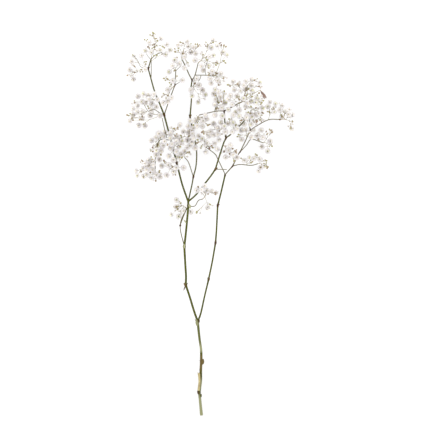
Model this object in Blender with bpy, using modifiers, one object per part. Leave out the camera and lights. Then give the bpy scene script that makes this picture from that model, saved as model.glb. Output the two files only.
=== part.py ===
"""A cut stem of gypsophila, lying on a surface with its cut end towards -Y and its blooms towards +Y.

The carrying limbs are one body. Each spray of thin stalks, blooms and buds is a body of its own, grown by a
seeded rule from its place on a limb. Routes and sizes are in millimetres, and the meshes in metres.
"""

import math
import random

import bmesh
import bpy
import numpy as np
from mathutils import Vector

MM = 0.001

# Moves the routes so that the box round the whole stem is centred on the origin.
SHIFT_X = -0.332
SHIFT_Y = -0.323

# Blooms and buds
BLOOM_RADIUS = 3.4
BLOOM_SPACING = 0.86
SMALL_BLOOM = 0.92
BUD_RADIUS = 1.0
BUD_LENGTH = 2.4
BUD_SPACING = 1.3
BUD_SIDES = 3
BUD_BELLY = 0.08
BUD_SHARE = 4
BUD_EXCESS = 2
PETALS = 5
PETAL_NOTCH = 0.72
NOTCH_DROP = 0.12
RIM_RISE = 0.16
CROWN_POINTS = 3
CROWN_RADIUS = 0.52
CROWN_RISE = 0.6
NECK_DEPTH = 0.95
PRESSED_RADIUS = 2.4
PRESSED_HEIGHT = 0.62

# How far the heads may stray from their places in the table
BLOOM_STRAY = 0.4
BUD_STRAY = 1.3
STRAY_GROWTH = 0.05
PLACE_ATTEMPTS = 80

# Stalks
TIP_RADIUS = 0.36
LOAD_RADIUS = 0.07
MOST_RADIUS = 0.6
LOWEST_STALK = 1.5
LOWEST_GAP = 0.6
STALK_SIDES = 3
FORK_SHARE = 0.5
SHORTEST_STALK = 4.0
LEAST_STEP = 2.0
CLEARANCE = 0.35
RUN_CLEARANCE = 0.32
ROOT_STEP = 0.05
ROOT_RUN = 3.0
SUNK_SHARE = 0.45
FORK_SWELL = 1.35
FORK_ATTEMPTS = 24
FORK_WANDER = 0.08
FORK_WANDER_GROWTH = 0.03
CENTRE_PULL = 0.72
HEADING_PULL = 0.28
LOAD_PULL = 0.2
BEND_ATTEMPTS = 30
BEND_FROM = 0.3
BEND_TO = 0.6
BEND_WANDER = 2.0
BEND_WANDER_GROWTH = 1 / 6
HEAD_SHARE = 0.9
ROOT_REACH = 0.3
RIM_POINTS = 8
LARGEST_FAN = 3
NEAR_CHANCE = 0.5
NEAREST_FORKS = 12
SIDE_GUIDE = (0.31, 0.22, 0.92)
FIRST_SEED = 11

# Joints of the limbs
KNOT_SWELL = 1.45
KNOT_REACH = 1.8
KNOT_LEAST_SIDES = 6
KNOT_SLIM_SWELL = 1.25
BRACT_LENGTH = 3.2
BRACT_RADIUS = 0.55
BRACT_TIP = 0.15
BRACT_SIDES = 3
BRACT_SEED = 5
BRACT_ALONG = 0.85
BRACT_ACROSS = 0.5
BRACT_LIFT = 0.25
BRACT_BASE_SHARE = 0.7
BRACT_RADIUS_SHARE = 0.3

# The dry sheath that clasps the trunk's left side
SHEATH_FROM_Y = -169.3
SHEATH_TO_Y = -150.6
SHEATH_GAP = 0.35
SHEATH_THICKNESS = 0.6
SHEATH_ARC = 1.9
SHEATH_FLARE = 0.9
SHEATH_FLARE_POWER = 3
SHEATH_TAPER = 0.55
SHEATH_TURN = math.pi - 0.35
SHEATH_STATIONS = 6
SHEATH_COLUMNS = 5

# The withered bloom at the upper right
WITHERED_ROOT = (34.0, 125.7, 36.0)
WITHERED_NECK = (50.5, 135.7, 34.0)
WITHERED_TIP = (55.3, 128.6, 32.6)
WITHERED_RADIUS = 1.2
WITHERED_SWELLS = ((0.18, 0.7), (0.4, 1.0), (0.62, 0.75), (0.85, 0.9))
WITHERED_FOLD = 0.3
WITHERED_SEED = 3

# Edges sharper than this stay sharp when the surfaces are shaded smooth.
SHARP_ANGLE = math.radians(50)

# Each limb: how many sides its tube has, and its points as x, y, z and radius, from its root to its tip.
LIMBS = {
    "trunk": (6, [
        (-9.2, -194.7, 1.3, 1.5), (-10.2, -184, 2.0, 1.35), (-11.4, -171.5, 3.0, 1.3),
        (-9.9, -159.7, 4.0, 1.25),
        (-9.9, -148.1, 5.0, 1.35), (-9.4, -139.4, 5.8, 1.35), (-9.6, -127.3, 6.9, 1.25),
        (-11.1, -117.1, 7.8, 1.2),
        (-13.1, -98.6, 9.4, 1.3)]),
    "left_limb": (6, [
        (-13.1, -98.6, 9.4, 1.0), (-17.0, -87.3, 10.6, 0.95), (-21.7, -71.8, 12.6, 0.95),
        (-25.1, -61.7, 14.0, 1.0),
        (-24.9, -51.9, 15.2, 0.95), (-25.5, -42.1, 16.4, 0.95), (-26.6, -22.4, 18.8, 1.0),
        (-25.5, -13.1, 19.8, 0.95),
        (-24.0, 1.5, 21.4, 0.9), (-22.5, 19.0, 23.2, 0.95), (-22.6, 23.2, 23.6, 0.95)]),
    "crown_limb": (6, [
        (-22.6, 23.2, 23.6, 0.85), (-28.5, 40.1, 25.0, 0.8), (-32.3, 54.7, 26.2, 0.8),
        (-34.3, 62.8, 27.0, 0.85),
        (-38.5, 79.6, 28.0, 0.75), (-42.7, 95.2, 29.0, 0.75), (-46.9, 111.0, 30.0, 0.8),
        (-52.9, 126.0, 31.0, 0.65),
        (-56.9, 135.8, 31.4, 0.65), (-61.3, 151.6, 31.6, 0.6), (-63.0, 157.9, 31.5, 0.6),
        (-60.2, 167.7, 31.0, 0.5)]),
    "crown_side_limb": (4, [
        (-46.9, 111.0, 30.0, 0.6), (-42.6, 123.5, 32.0, 0.55), (-36.0, 141.0, 34.0, 0.55),
        (-35.1, 155.2, 34.6, 0.5)]),
    "middle_limb": (4, [
        (-22.6, 23.2, 23.6, 0.65), (-18.9, 40.1, 22.0, 0.6), (-17.4, 48.3, 21.4, 0.65),
        (-14.7, 59.6, 21.0, 0.6),
        (-14.1, 74.3, 21.2, 0.6), (-16.7, 90.8, 22.4, 0.6), (-20.8, 109.1, 24.0, 0.7),
        (-19.3, 128.0, 26.0, 0.6),
        (-20.0, 136.7, 27.0, 0.6), (-18.7, 146.4, 28.2, 0.6), (-21.1, 150.8, 28.8, 0.5),
        (-27.0, 163.7, 30.0, 0.5),
        (-28.9, 166.9, 30.2, 0.5)]),
    "middle_side_limb": (4, [
        (-17.4, 48.3, 21.4, 0.5), (-22.1, 62.6, 18.4, 0.5), (-26.2, 68.2, 17.0, 0.45)]),
    "middle_top_limb": (4, [
        (-18.7, 146.4, 28.2, 0.5), (-15.7, 151.4, 29.2, 0.55), (-12.5, 163.4, 30.8, 0.45)]),
    "middle_top_twig": (4, [
        (-15.7, 151.4, 29.2, 0.45), (-4.6, 151.2, 30.2, 0.45), (3.5, 150.2, 31.0, 0.45)]),
    "cloud_limb": (6, [
        (-22.6, 23.2, 23.6, 0.85), (-14.2, 30.8, 25.5, 0.8), (-5.7, 41.5, 28.0, 0.8),
        (0.2, 49.1, 29.6, 0.8),
        (5.0, 56.0, 31.0, 0.85), (7.3, 63.8, 32.0, 0.75), (12.8, 81.1, 33.6, 0.75),
        (15.7, 87.7, 34.0, 0.75),
        (14.4, 106.0, 35.2, 0.65), (13.9, 114.8, 35.6, 0.65), (25.9, 121.2, 36.2, 0.6),
        (34.0, 125.7, 36.0, 0.55),
        (34.6, 130.6, 35.8, 0.5)]),
    "cloud_side_limb": (4, [
        (13.9, 114.8, 35.6, 0.55), (5.7, 114.6, 36.0, 0.5), (-11.4, 110.8, 36.4, 0.5)]),
    "right_limb": (6, [
        (-13.1, -98.6, 9.4, 0.8), (-10.0, -90.8, 9.6, 0.75), (-6.0, -72.9, 10.6, 0.7),
        (-1.9, -55.7, 11.8, 0.75),
        (1.7, -38.3, 13.2, 0.7), (5.1, -18.5, 14.8, 0.75), (6.1, -5.3, 16.0, 0.7),
        (7.0, 13.1, 17.4, 0.7),
        (7.4, 19.5, 18.0, 0.75), (10.6, 32.2, 19.0, 0.7), (14.9, 50.8, 20.4, 0.7)]),
    "right_inner_limb": (4, [
        (14.9, 50.8, 20.4, 0.5), (7.3, 66.7, 19.0, 0.5), (4.4, 71.8, 18.6, 0.5),
        (-5.1, 78.9, 17.6, 0.45)]),
    "right_outer_limb": (4, [
        (14.9, 50.8, 20.4, 0.6), (22.4, 59.2, 21.4, 0.65), (28.2, 71.0, 22.2, 0.6),
        (30.2, 73.9, 22.4, 0.6),
        (36.6, 87.4, 23.2, 0.55), (40.1, 95.3, 23.8, 0.55), (46.1, 99.6, 23.6, 0.5),
        (58.8, 106.3, 22.4, 0.5), (71.0, 106.6, 21.4, 0.45)]),
    "right_low_limb": (4, [
        (22.4, 59.2, 21.4, 0.5), (30.0, 61.0, 20.0, 0.5), (41.2, 60.1, 18.4, 0.5),
        (48.2, 61.8, 17.4, 0.45)]),
    "right_mid_limb": (4, [
        (30.2, 73.9, 22.4, 0.5), (36.4, 80.5, 20.4, 0.45), (41.6, 86.6, 19.0, 0.5),
        (53.5, 83.0, 17.0, 0.45)]),
    "right_top_limb": (4, [
        (40.1, 95.3, 23.8, 0.5), (39.6, 103.3, 25.6, 0.45), (41.1, 116.1, 28.0, 0.45)]),
    "low_left_limb": (4, [
        (-26.6, -22.4, 18.8, 0.5), (-30.9, -0.8, 12.6, 0.5), (-24.6, 16.6, 9.8, 0.45)]),
    "low_right_limb": (4, [
        (-22.5, 19.0, 23.2, 0.5), (-16.1, 18.7, 21.0, 0.45), (-12.4, 24.3, 19.0, 0.45),
        (-8.3, 25.8, 17.6, 0.45)]),
    "cloud_inner_limb": (4, [
        (15.7, 87.7, 34.0, 0.5), (20.2, 91.0, 34.4, 0.5), (27.9, 98.2, 35.0, 0.5),
        (34.5, 105.3, 35.6, 0.45)]),
    "lobe_limb": (4, [
        (-40.1, 85.5, 28.4, 0.5), (-51.2, 85.7, 29.0, 0.5), (-54.8, 76.6, 27.0, 0.5),
        (-56.0, 64.9, 25.0, 0.5), (-56.0, 53.7, 22.0, 0.45)]),
    "cloud_twig": (4, [(5.0, 56.0, 31.0, 0.45), (16.5, 55.8, 31.6, 0.4)]),
}

# Swollen joints: the limb, the number of its point, and how many scale leaves stand there.
KNOTS = [
    ("trunk", 2, 1), ("trunk", 4, 0), ("trunk", 5, 1), ("trunk", 8, 2),
    ("left_limb", 3, 2), ("left_limb", 6, 1), ("left_limb", 9, 1),
    ("crown_limb", 3, 1), ("crown_limb", 6, 1), ("crown_limb", 10, 1),
    ("crown_side_limb", 2, 1),
    ("middle_limb", 2, 0), ("middle_limb", 6, 2), ("middle_limb", 9, 1),
    ("cloud_limb", 4, 1), ("cloud_limb", 7, 1), ("cloud_limb", 9, 0),
    ("right_limb", 3, 1), ("right_limb", 5, 0), ("right_limb", 8, 1), ("right_limb", 10, 0),
    ("right_outer_limb", 1, 1), ("right_outer_limb", 3, 0), ("right_outer_limb", 5, 1),
]

# Each spray: its root on a limb, its blooms as x, y, z and share of the full size, and its groups of buds as
# x, y, z and number.
SPRAYS = {
    "spray_crown_left": ((-60.2, 167.7, 31.0), [
        (-59.8, 174.2, 34, 0.88), (-62, 184.5, 35, 0.8), (-49.7, 188.6, 27, 0.8), (-66.4, 176, 28, 0.8),
        (-44, 182.5, 31, 0.8),
    ], [
        (-58.5, 193.6, 30, 4), (-54.5, 186.5, 33, 3), (-65, 186.8, 28, 2), (-56.5, 180.8, 28, 5),
        (-47, 180.5, 33, 2), (-62.5, 181, 25, 2),
    ]),
    "spray_crown_side": ((-63.0, 157.9, 31.5), [
        (-82.1, 156.7, 28, 1), (-78.1, 147, 25, 1), (-80.6, 165.3, 32, 0.88), (-69.5, 170.9, 35, 0.88),
        (-65.9, 156.7, 37, 0.88),
    ], [
        (-78, 171, 33, 2), (-78, 160.5, 35, 2), (-77.5, 154.5, 22, 3), (-82.6, 152.1, 31, 2),
        (-70.3, 156, 25, 2), (-65.5, 163.5, 36, 2),
    ]),
    "spray_crown_right": ((-61.0, 164.8, 31.2), [
        (-45.3, 171.9, 32, 1), (-50.7, 176.4, 36, 0.7), (-40.6, 176.9, 28, 0.88),
    ], [(-55.5, 171.2, 34, 2), (-50, 171.5, 28, 1)]),
    "spray_arm_upper": ((-52.9, 126.0, 31.0), [
        (-73.5, 129.8, 28, 1), (-68, 132.3, 33, 0.88), (-62.9, 131.5, 28, 0.88), (-57, 132.2, 36.5, 0.88),
        (-53.8, 126.5, 38, 0.78), (-69.5, 124.7, 31, 1), (-62.4, 127, 35, 0.9), (-74, 120.7, 25, 0.88),
        (-59.8, 122.2, 30, 1), (-65.7, 123.4, 25, 0.78),
    ], [(-77.6, 123.2, 31, 2), (-64, 128, 24, 2)]),
    "spray_arm_lower": ((-46.9, 111.0, 30.0), [
        (-73.5, 116, 23, 0.9), (-78.6, 111.5, 28, 1), (-79.1, 117, 32, 0.88), (-69, 113.6, 30, 0.88),
        (-59.8, 116.1, 33, 0.88), (-61.3, 110.5, 27, 1), (-51.4, 110.4, 34, 1), (-69, 107.5, 24, 1),
        (-73, 100.4, 27, 1), (-66.4, 99.4, 23, 1), (-82.3, 104.4, 30, 0.88), (-55.3, 119.6, 24, 0.78),
    ], [
        (-83.4, 112, 31, 2), (-80.3, 106.4, 24, 2), (-72.4, 106.8, 31, 2), (-66.9, 101.9, 30, 1),
        (-57.3, 112.6, 29, 1), (-62.5, 119, 26, 2),
    ]),
    "spray_crown_inner": ((-36.0, 141.0, 34.0), [
        (-28, 146, 38, 0.88), (-38, 145.5, 40, 1), (-43.1, 136.4, 39, 1), (-39.5, 128.2, 40.5, 0.88),
        (-42.8, 124.4, 37, 0.88), (-47.7, 122.7, 40, 0.88),
    ], [
        (-45, 148, 36, 3), (-41, 141.8, 30, 2), (-33, 149.6, 38, 1), (-47.5, 130.2, 34, 3),
        (-43.2, 130.2, 33, 2),
    ]),
    "spray_top_left": ((-35.1, 155.2, 34.6), [
        (-36, 166.3, 38, 1), (-38.5, 160.4, 42, 0.9), (-42.1, 154.6, 37, 1), (-31, 162.7, 38, 0.88),
        (-26.4, 158.2, 36, 0.88),
    ], [(-37, 157, 30, 2), (-33.5, 170, 36, 1)]),
    "spray_top_middle": ((-28.9, 166.9, 30.2), [
        (-23.3, 185.6, 28, 0.7), (-25.9, 169.8, 35, 0.78), (-17.2, 179.5, 33, 0.7), (-19.5, 174.4, 27, 1),
        (-15.2, 173, 32, 1), (-33, 182, 34, 0.7), (-22.3, 180.8, 25, 0.7),
    ], [
        (-29.4, 183.3, 30, 3), (-34, 176.5, 28, 4), (-26.4, 172.8, 27, 1), (-18.8, 183.2, 31, 1),
        (-12.8, 181.2, 33, 4), (-23.5, 163.5, 33, 2),
    ]),
    "spray_top_right": ((-12.5, 163.4, 30.8), [
        (-16.2, 165.8, 36, 1), (-9.1, 160.4, 36, 0.88), (-1.5, 161.2, 33, 0.9), (-7.1, 156.2, 30, 0.88),
        (-0.5, 169.8, 37, 0.7), (3, 171, 31, 0.7), (1, 179, 31, 1), (2.5, 187, 28, 0.7),
    ], [
        (-7.5, 173.4, 33, 2), (-3.7, 167.3, 30, 3), (-3.6, 181.6, 28, 3), (-4.4, 185.6, 31, 1),
        (3.5, 184.8, 32, 2), (-2, 157.5, 37, 1), (5.8, 162.5, 31, 4),
    ]),
    "spray_far_top_right": ((3.5, 150.2, 31.0), [
        (1.5, 155, 35, 0.88), (10.6, 153.1, 33, 0.88), (-1, 147.3, 36.5, 0.88), (7.1, 145.5, 36, 1),
        (0.5, 142.8, 30, 0.88), (13.2, 174.4, 29, 0.88), (16.7, 171.9, 34, 0.88), (6.1, 181, 33, 0.7),
        (5, 136.6, 35, 0.9),
    ], [
        (10.3, 183.4, 29, 2), (14, 180.2, 31, 2), (14.9, 165.3, 31, 2), (4.6, 152, 29, 4),
        (-2.2, 152.3, 33, 2), (13.6, 147.6, 34, 3), (8.5, 141.8, 32, 2),
    ]),
    "spray_middle_right": ((-19.3, 140.9, 27.5), [
        (-11.2, 141, 30, 1), (-19.8, 136.4, 33.5, 1), (-8.1, 136.4, 26, 1), (-5.1, 131.8, 31, 1),
        (-18.8, 130.4, 32, 0.9), (-12.2, 123.7, 24, 0.88), (-14.2, 148.2, 36, 0.7),
    ], [(-11.7, 136.4, 35, 1), (-11.4, 127.5, 28, 1), (-5.6, 126.4, 25, 1), (-15.5, 143.5, 26, 2)]),
    "spray_cloud_left_top": ((-42.7, 95.2, 29.0), [
        (-52.2, 92.2, 36, 1), (-47.7, 88.7, 34, 0.88), (-40.6, 92.8, 36, 0.9), (-40.3, 87.2, 36, 0.88),
        (-31, 101, 31, 0.88), (-46.5, 94, 27, 0.88),
    ], [(-38.3, 98, 32, 3), (-32.5, 98.9, 28, 2), (-36.5, 91, 34, 3)]),
    "spray_cloud_left_middle": ((-51.2, 85.7, 29.0), [
        (-59.8, 85.2, 27, 1), (-55.3, 88.9, 31, 0.88), (-48.2, 80.1, 33, 1), (-49.7, 74.8, 31, 1),
        (-54.5, 74.8, 34, 0.88), (-46.1, 84.3, 37, 0.88), (-55.3, 70.6, 30, 1), (-53, 80.5, 23, 0.88),
    ], [(-59.6, 74.8, 27, 2), (-51.3, 88.5, 24, 2), (-50.7, 72, 25, 2), (-56, 80, 24, 2)]),
    "spray_cloud_left_inner": ((-38.5, 79.6, 28.0), [
        (-43.6, 77.6, 34, 1), (-38, 78.6, 36, 1), (-34, 89.7, 33, 0.88), (-29, 84.2, 31, 1),
        (-34.5, 73.5, 33, 0.9), (-31.9, 78.6, 27, 0.88), (-42.3, 69.5, 31, 0.88), (-35.5, 84.3, 38, 0.78),
    ], [(-33, 86.5, 27, 2), (-31, 80.2, 35, 3), (-42.2, 81.6, 38, 2), (-36.7, 71.5, 26, 1)]),
    "spray_lobe_left": ((-56.0, 64.9, 25.0), [
        (-62.4, 64.9, 29, 1), (-58.2, 60.6, 31, 0.9), (-62.6, 59.2, 22, 0.88), (-69, 57, 26, 0.9),
        (-65, 55.6, 31, 0.88), (-76, 54.8, 24, 0.88), (-74.5, 49.8, 29, 0.7), (-51.5, 66.4, 20, 1),
        (-66.5, 61.8, 33, 0.78),
    ], [(-69.8, 63.2, 27, 2), (-65.1, 59.3, 27, 1), (-59, 67.5, 31, 2), (-70.5, 53.3, 21, 2)]),
    "spray_lobe_low": ((-56.0, 53.7, 22.0), [
        (-69, 50.2, 20, 0.88), (-64.9, 50.3, 25.5, 0.88), (-55.3, 50.4, 27, 1), (-51.4, 48, 21, 1),
        (-60.3, 46.7, 23, 0.9), (-58.3, 56.4, 27.5, 0.9),
    ], [(-61.6, 52.7, 19, 2), (-69.2, 48.3, 25, 1), (-52.7, 52.7, 26, 2), (-55.6, 46, 15, 2)]),
    "spray_cloud_left_low": ((-33.3, 58.8, 26.6), [
        (-51.2, 58.3, 25, 1), (-42.6, 60.3, 33, 1), (-37, 65.4, 34, 1), (-34.7, 57.4, 34, 1),
        (-26.9, 57.3, 30, 1), (-44.6, 49.7, 25, 1), (-37.3, 53.2, 28, 0.88),
    ], [(-47.5, 63.5, 26, 3), (-39.5, 57.5, 24, 3), (-36.5, 52.2, 22, 2), (-30.2, 67.4, 30, 2)]),
    "spray_middle_low": ((-26.2, 68.2, 17.0), [
        (-29.4, 71.5, 22, 1), (-26.4, 74.8, 15, 0.88), (-33.5, 68.5, 13, 0.88), (-23.3, 78.5, 10, 0.9),
    ], [(-22.3, 73.2, 18, 3), (-24.5, 69, 12, 1)]),
    "spray_centre_left": ((-16.7, 90.8, 22.4), [
        (-22.3, 94.3, 19, 1), (-22.3, 99.6, 30.5, 1), (-20.5, 104.8, 31, 0.88), (-17.9, 92.2, 30, 0.88),
        (-27.9, 94.8, 15, 0.88), (-17.8, 98.4, 31, 0.9), (-18.8, 83.1, 29, 0.88), (-23.8, 85.2, 17, 1),
        (-15.2, 77.6, 28, 1), (-20.8, 80, 20, 0.88), (-16.5, 86, 30, 0.88),
    ], [(-22.3, 90.5, 14, 2), (-17, 88.5, 16, 2), (-11.8, 84.3, 25, 3), (-29, 89, 21, 2)]),
    "spray_centre_top": ((-11.4, 110.8, 36.4), [
        (-7.6, 105, 41, 1), (-3.9, 106.8, 34, 0.88), (-8.1, 98.9, 37, 0.9), (-12.2, 107.5, 31, 0.7),
        (-17.7, 105, 34, 0.88), (-13.4, 99.4, 41, 0.88), (-5, 110.4, 42, 0.7),
    ], [(-9.1, 108.9, 31, 1), (-16.4, 101, 37, 2), (-1, 100.4, 36, 2), (-13, 103, 36, 1)]),
    "spray_centre_low": ((-5.1, 78.9, 17.6), [
        (-5.1, 73.5, 22, 0.88), (-3.5, 82.8, 22, 0.88), (4.6, 82.6, 20, 0.88), (-8.3, 87.5, 21, 0.88),
        (-12.5, 89.5, 15, 0.88), (-1.5, 90, 16, 0.9),
    ], [(-8.4, 79, 25, 3), (-2, 78.4, 13, 2), (2.8, 78.9, 16, 2), (-5.1, 85.5, 13, 2)]),
    "spray_right_cloud_left": ((5.7, 114.6, 36.0), [
        (11.2, 118.1, 41, 1), (4.6, 121.7, 39, 0.9), (4.1, 110.5, 40, 0.88), (10.1, 128.8, 36, 0.9),
        (3.5, 133.3, 31, 1), (8.1, 134.2, 40, 0.9), (15.2, 123.2, 31, 1), (5.1, 126.5, 29, 0.7),
    ], [
        (7, 117.5, 30, 2), (5.9, 130.8, 41, 1), (14, 133.5, 34, 3), (8.9, 124.8, 34, 3), (4.1, 107.5, 35, 1),
        (13.2, 126.2, 38, 1),
    ]),
    "spray_right_cloud_top": ((34.6, 130.6, 35.8), [
        (22.8, 145, 31, 0.9), (36, 145, 37, 0.88), (41.6, 141.2, 33, 0.9), (50.2, 144, 31, 0.88),
        (36, 138.2, 31, 1), (30.6, 135.6, 40, 0.88), (23.6, 136.4, 36, 0.88), (41.8, 135.8, 40, 0.88),
        (33.5, 141.2, 42, 0.7), (26.9, 130, 33, 0.88), (41.5, 147.2, 28, 0.78), (29, 143, 27, 0.88),
    ], [
        (27.4, 142.5, 36, 2), (19.5, 141.6, 30, 3), (22.5, 138.9, 30, 1), (46.6, 146, 34, 2),
        (50.4, 139.9, 34, 2), (39.8, 138.4, 35, 2), (44.8, 133.3, 33, 2), (36, 131, 41, 2),
    ]),
    "spray_right_cloud_side": ((31.0, 124.0, 36.1), [
        (47.2, 127.8, 35, 0.9), (45.6, 123.2, 41, 0.88), (41.5, 124.6, 33, 0.88), (20.3, 130.3, 41, 0.88),
        (17.7, 126.6, 44.5, 0.88), (22.3, 121.2, 44, 0.88), (18, 116.2, 41.5, 0.88), (29.4, 115.4, 39, 0.88),
        (33.2, 127.4, 43, 0.9), (37.4, 122.6, 41, 0.88), (53, 118.2, 34, 1), (38.4, 132.5, 38, 0.88),
    ], [
        (35, 130.5, 37, 2), (42, 129.8, 36, 2), (48.7, 131.3, 34, 2), (52, 124, 36, 4),
        (29, 127.5, 41, 3), (26.5, 119.5, 32, 1),
    ]),
    "spray_arm_inner": ((36.6, 87.4, 23.2), [
        (31.4, 85.7, 30, 1), (41.6, 88.2, 30, 0.88), (43.6, 95.8, 17, 0.9), (36, 96.5, 17, 0.88),
    ], [(28.4, 90.2, 26, 2), (40, 92.5, 29, 2)]),
    "spray_right_cloud_low": ((41.1, 116.1, 28.0), [
        (42.1, 109, 33, 1), (46.8, 111.2, 27, 1), (49.4, 115.4, 33, 0.88), (36.5, 109.4, 28, 0.88),
        (40.6, 101.2, 31, 0.88), (35.5, 120, 26, 0.88),
    ], [
        (47.2, 117.1, 29, 2), (51, 112.6, 30, 2), (40.4, 119.8, 33, 2), (38, 113.6, 35, 2),
        (45.5, 104.2, 29, 4), (51, 105.5, 27, 3), (34.5, 116.1, 31, 1),
    ]),
    "spray_centre_right": ((24.0, 94.6, 34.7), [
        (26.9, 97.4, 40.5, 0.88), (21.8, 93.4, 40.5, 0.9), (30.9, 95.2, 29, 1), (22.6, 102.9, 38, 0.88),
        (17.5, 102.4, 30, 0.88),
    ], [(26, 100.5, 32, 2), (20.1, 106, 36, 2)]),
    "spray_inner_top": ((34.5, 105.3, 35.6), [
        (29.4, 110, 40.5, 0.88), (22.9, 110.5, 41, 0.88), (26.2, 114, 35, 0.88), (35.2, 99.8, 31, 0.88),
        (36.6, 108, 42, 0.88),
    ], [(30.5, 104.5, 38, 2), (38.5, 105.5, 33, 1)]),
    "spray_centre_middle": ((15.0, 97.0, 34.6), [
        (14.2, 99.6, 41, 1), (10.2, 103.4, 36, 0.88), (15.5, 93.4, 40.5, 1), (3, 102.4, 31, 1),
        (0, 94.3, 36, 1), (3.2, 90.4, 30, 0.9), (7.1, 91.2, 38, 1), (8.6, 85.4, 34, 0.9),
        (7.4, 97.6, 36, 0.88), (12.2, 109.7, 41.5, 1),
    ], [(7.6, 94.8, 31, 2), (12.6, 91.2, 30, 1), (-4.8, 91.8, 37, 4), (-8.8, 93.5, 33, 2)]),
    "spray_fan": ((12.8, 81.1, 33.6), [
        (18.3, 75, 37, 1), (15.7, 67.9, 34, 1), (19.8, 80.6, 40, 0.88), (27.2, 67.6, 32, 1),
        (23, 70.7, 38, 0.88), (6.8, 76.4, 33, 0.7),
    ], [
        (15.2, 80.1, 39, 1), (21.3, 77.6, 34, 2), (13.2, 74, 30, 2), (20.3, 71.5, 31, 2), (25.5, 73.4, 35, 3),
        (24, 66, 35, 2),
    ]),
    "spray_far_right": ((71.0, 106.6, 21.4), [
        (72.8, 121.2, 22, 0.88), (70, 116.1, 27, 1), (76.2, 115.1, 18, 0.88), (83.4, 111.3, 22, 0.88),
        (79.1, 111.6, 27, 0.88), (82.6, 96.8, 17, 0.88), (79.6, 117, 31, 0.7),
    ], [
        (69.8, 122.7, 28, 1), (71, 112.8, 17, 2), (78.6, 109.6, 16, 3), (84.6, 104.2, 22, 2),
        (80.6, 98.6, 23, 2),
    ]),
    "spray_far_right_top": ((58.8, 106.3, 22.4), [
        (58.3, 119.6, 24, 1), (65.8, 122.7, 27, 0.88), (60.3, 124.8, 19, 0.7), (64.4, 113.8, 28, 0.7),
    ], [(58.3, 114.4, 19, 2), (63.7, 118, 21, 3)]),
    "spray_right_middle": ((53.5, 83.0, 17.0), [
        (47.2, 90, 22, 1), (52.2, 79.1, 12, 1), (60.8, 84.7, 20, 1), (58.3, 74.5, 14, 1),
        (53.2, 88.6, 24, 0.88), (51.7, 95.8, 18, 0.9),
    ], [
        (48.5, 86.5, 17, 2), (61, 80, 22, 2), (57.8, 92.8, 22, 2), (61.3, 95.6, 17, 3), (47.5, 94.3, 28, 1),
    ]),
    "spray_right_low": ((48.2, 61.8, 17.4), [
        (50.2, 66.4, 21, 1), (55.3, 59.6, 14, 0.88), (48.7, 54, 12, 0.7),
    ], [(46.6, 70, 19, 2), (55.7, 64, 21, 4), (57.3, 58, 19, 2)]),
    "spray_right_small": ((36.0, 60.5, 19.2), [
        (34.3, 64.9, 25, 0.9), (44.5, 67.2, 23, 0.7), (39.5, 67.4, 26, 0.7),
    ], [(41.4, 64.4, 22, 2), (30.6, 66, 23, 1)]),
    "spray_low_left": ((-24.6, 16.6, 9.8), [
        (-35, 25.3, 10, 1), (-32.7, 8.3, 8.5, 1), (-40.4, 9.8, 13, 0.9), (-19.8, 12.7, 12, 1),
        (-27.4, 14.2, 16, 0.78),
    ], [(-30.5, 22.5, 12, 2), (-34.7, 17, 7, 3), (-30.5, 12.8, 13, 2)]),
    "spray_low_right": ((-8.3, 25.8, 17.6), [
        (-14.2, 34.7, 32, 1), (-3.5, 34.5, 22, 1), (-5.6, 39.2, 34, 0.88), (-9.3, 35, 37.5, 0.7),
        (-3, 16.7, 13, 1), (6.1, 32.4, 16, 0.7), (1.5, 34.4, 12, 0.7),
    ], [
        (-13.5, 38, 26, 2), (-8.5, 32, 19, 3), (-2.8, 30.2, 15, 1), (4.9, 31.4, 20, 2), (0.5, 19.5, 18, 2),
        (-14.6, 11.4, 15, 3),
    ]),
}

# Blooms that face down and lie on the surface: the spray, x and y.
RESTING = [
    ("spray_lobe_left", -64.0, 57.0),
    ("spray_cloud_left_top", -53.0, 93.0),
    ("spray_top_middle", -28.0, 174.0),
    ("spray_centre_left", -19.0, 96.0),
    ("spray_far_right", 73.0, 110.0),
    ("spray_right_low", 51.0, 58.0),
    ("spray_low_left", -35.0, 18.0),
    ("spray_right_cloud_low", 42.0, 112.0),
]


class Head:
    """A bloom or a bud: where its middle is, how large it is, and which way it faces if that is fixed."""

    def __init__(self, kind, place, radius, facing=None):
        self.kind = kind
        self.place = place
        self.radius = radius
        self.facing = facing

    def body(self, facing):
        """The capsule that the head fills, as two ends and a radius."""
        if self.kind == "withered":
            return Vector(WITHERED_NECK), Vector(WITHERED_TIP), self.radius
        if self.kind == "bloom":
            return self.place, self.place, self.radius
        half = facing * (BUD_LENGTH / 2 - self.radius)
        return self.place - half, self.place + half, self.radius


class Sprig:
    """One unbranched stalk, through its forks from root to head."""

    def __init__(self, points, head):
        self.points = points
        self.radii = []
        self.head = head


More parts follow.
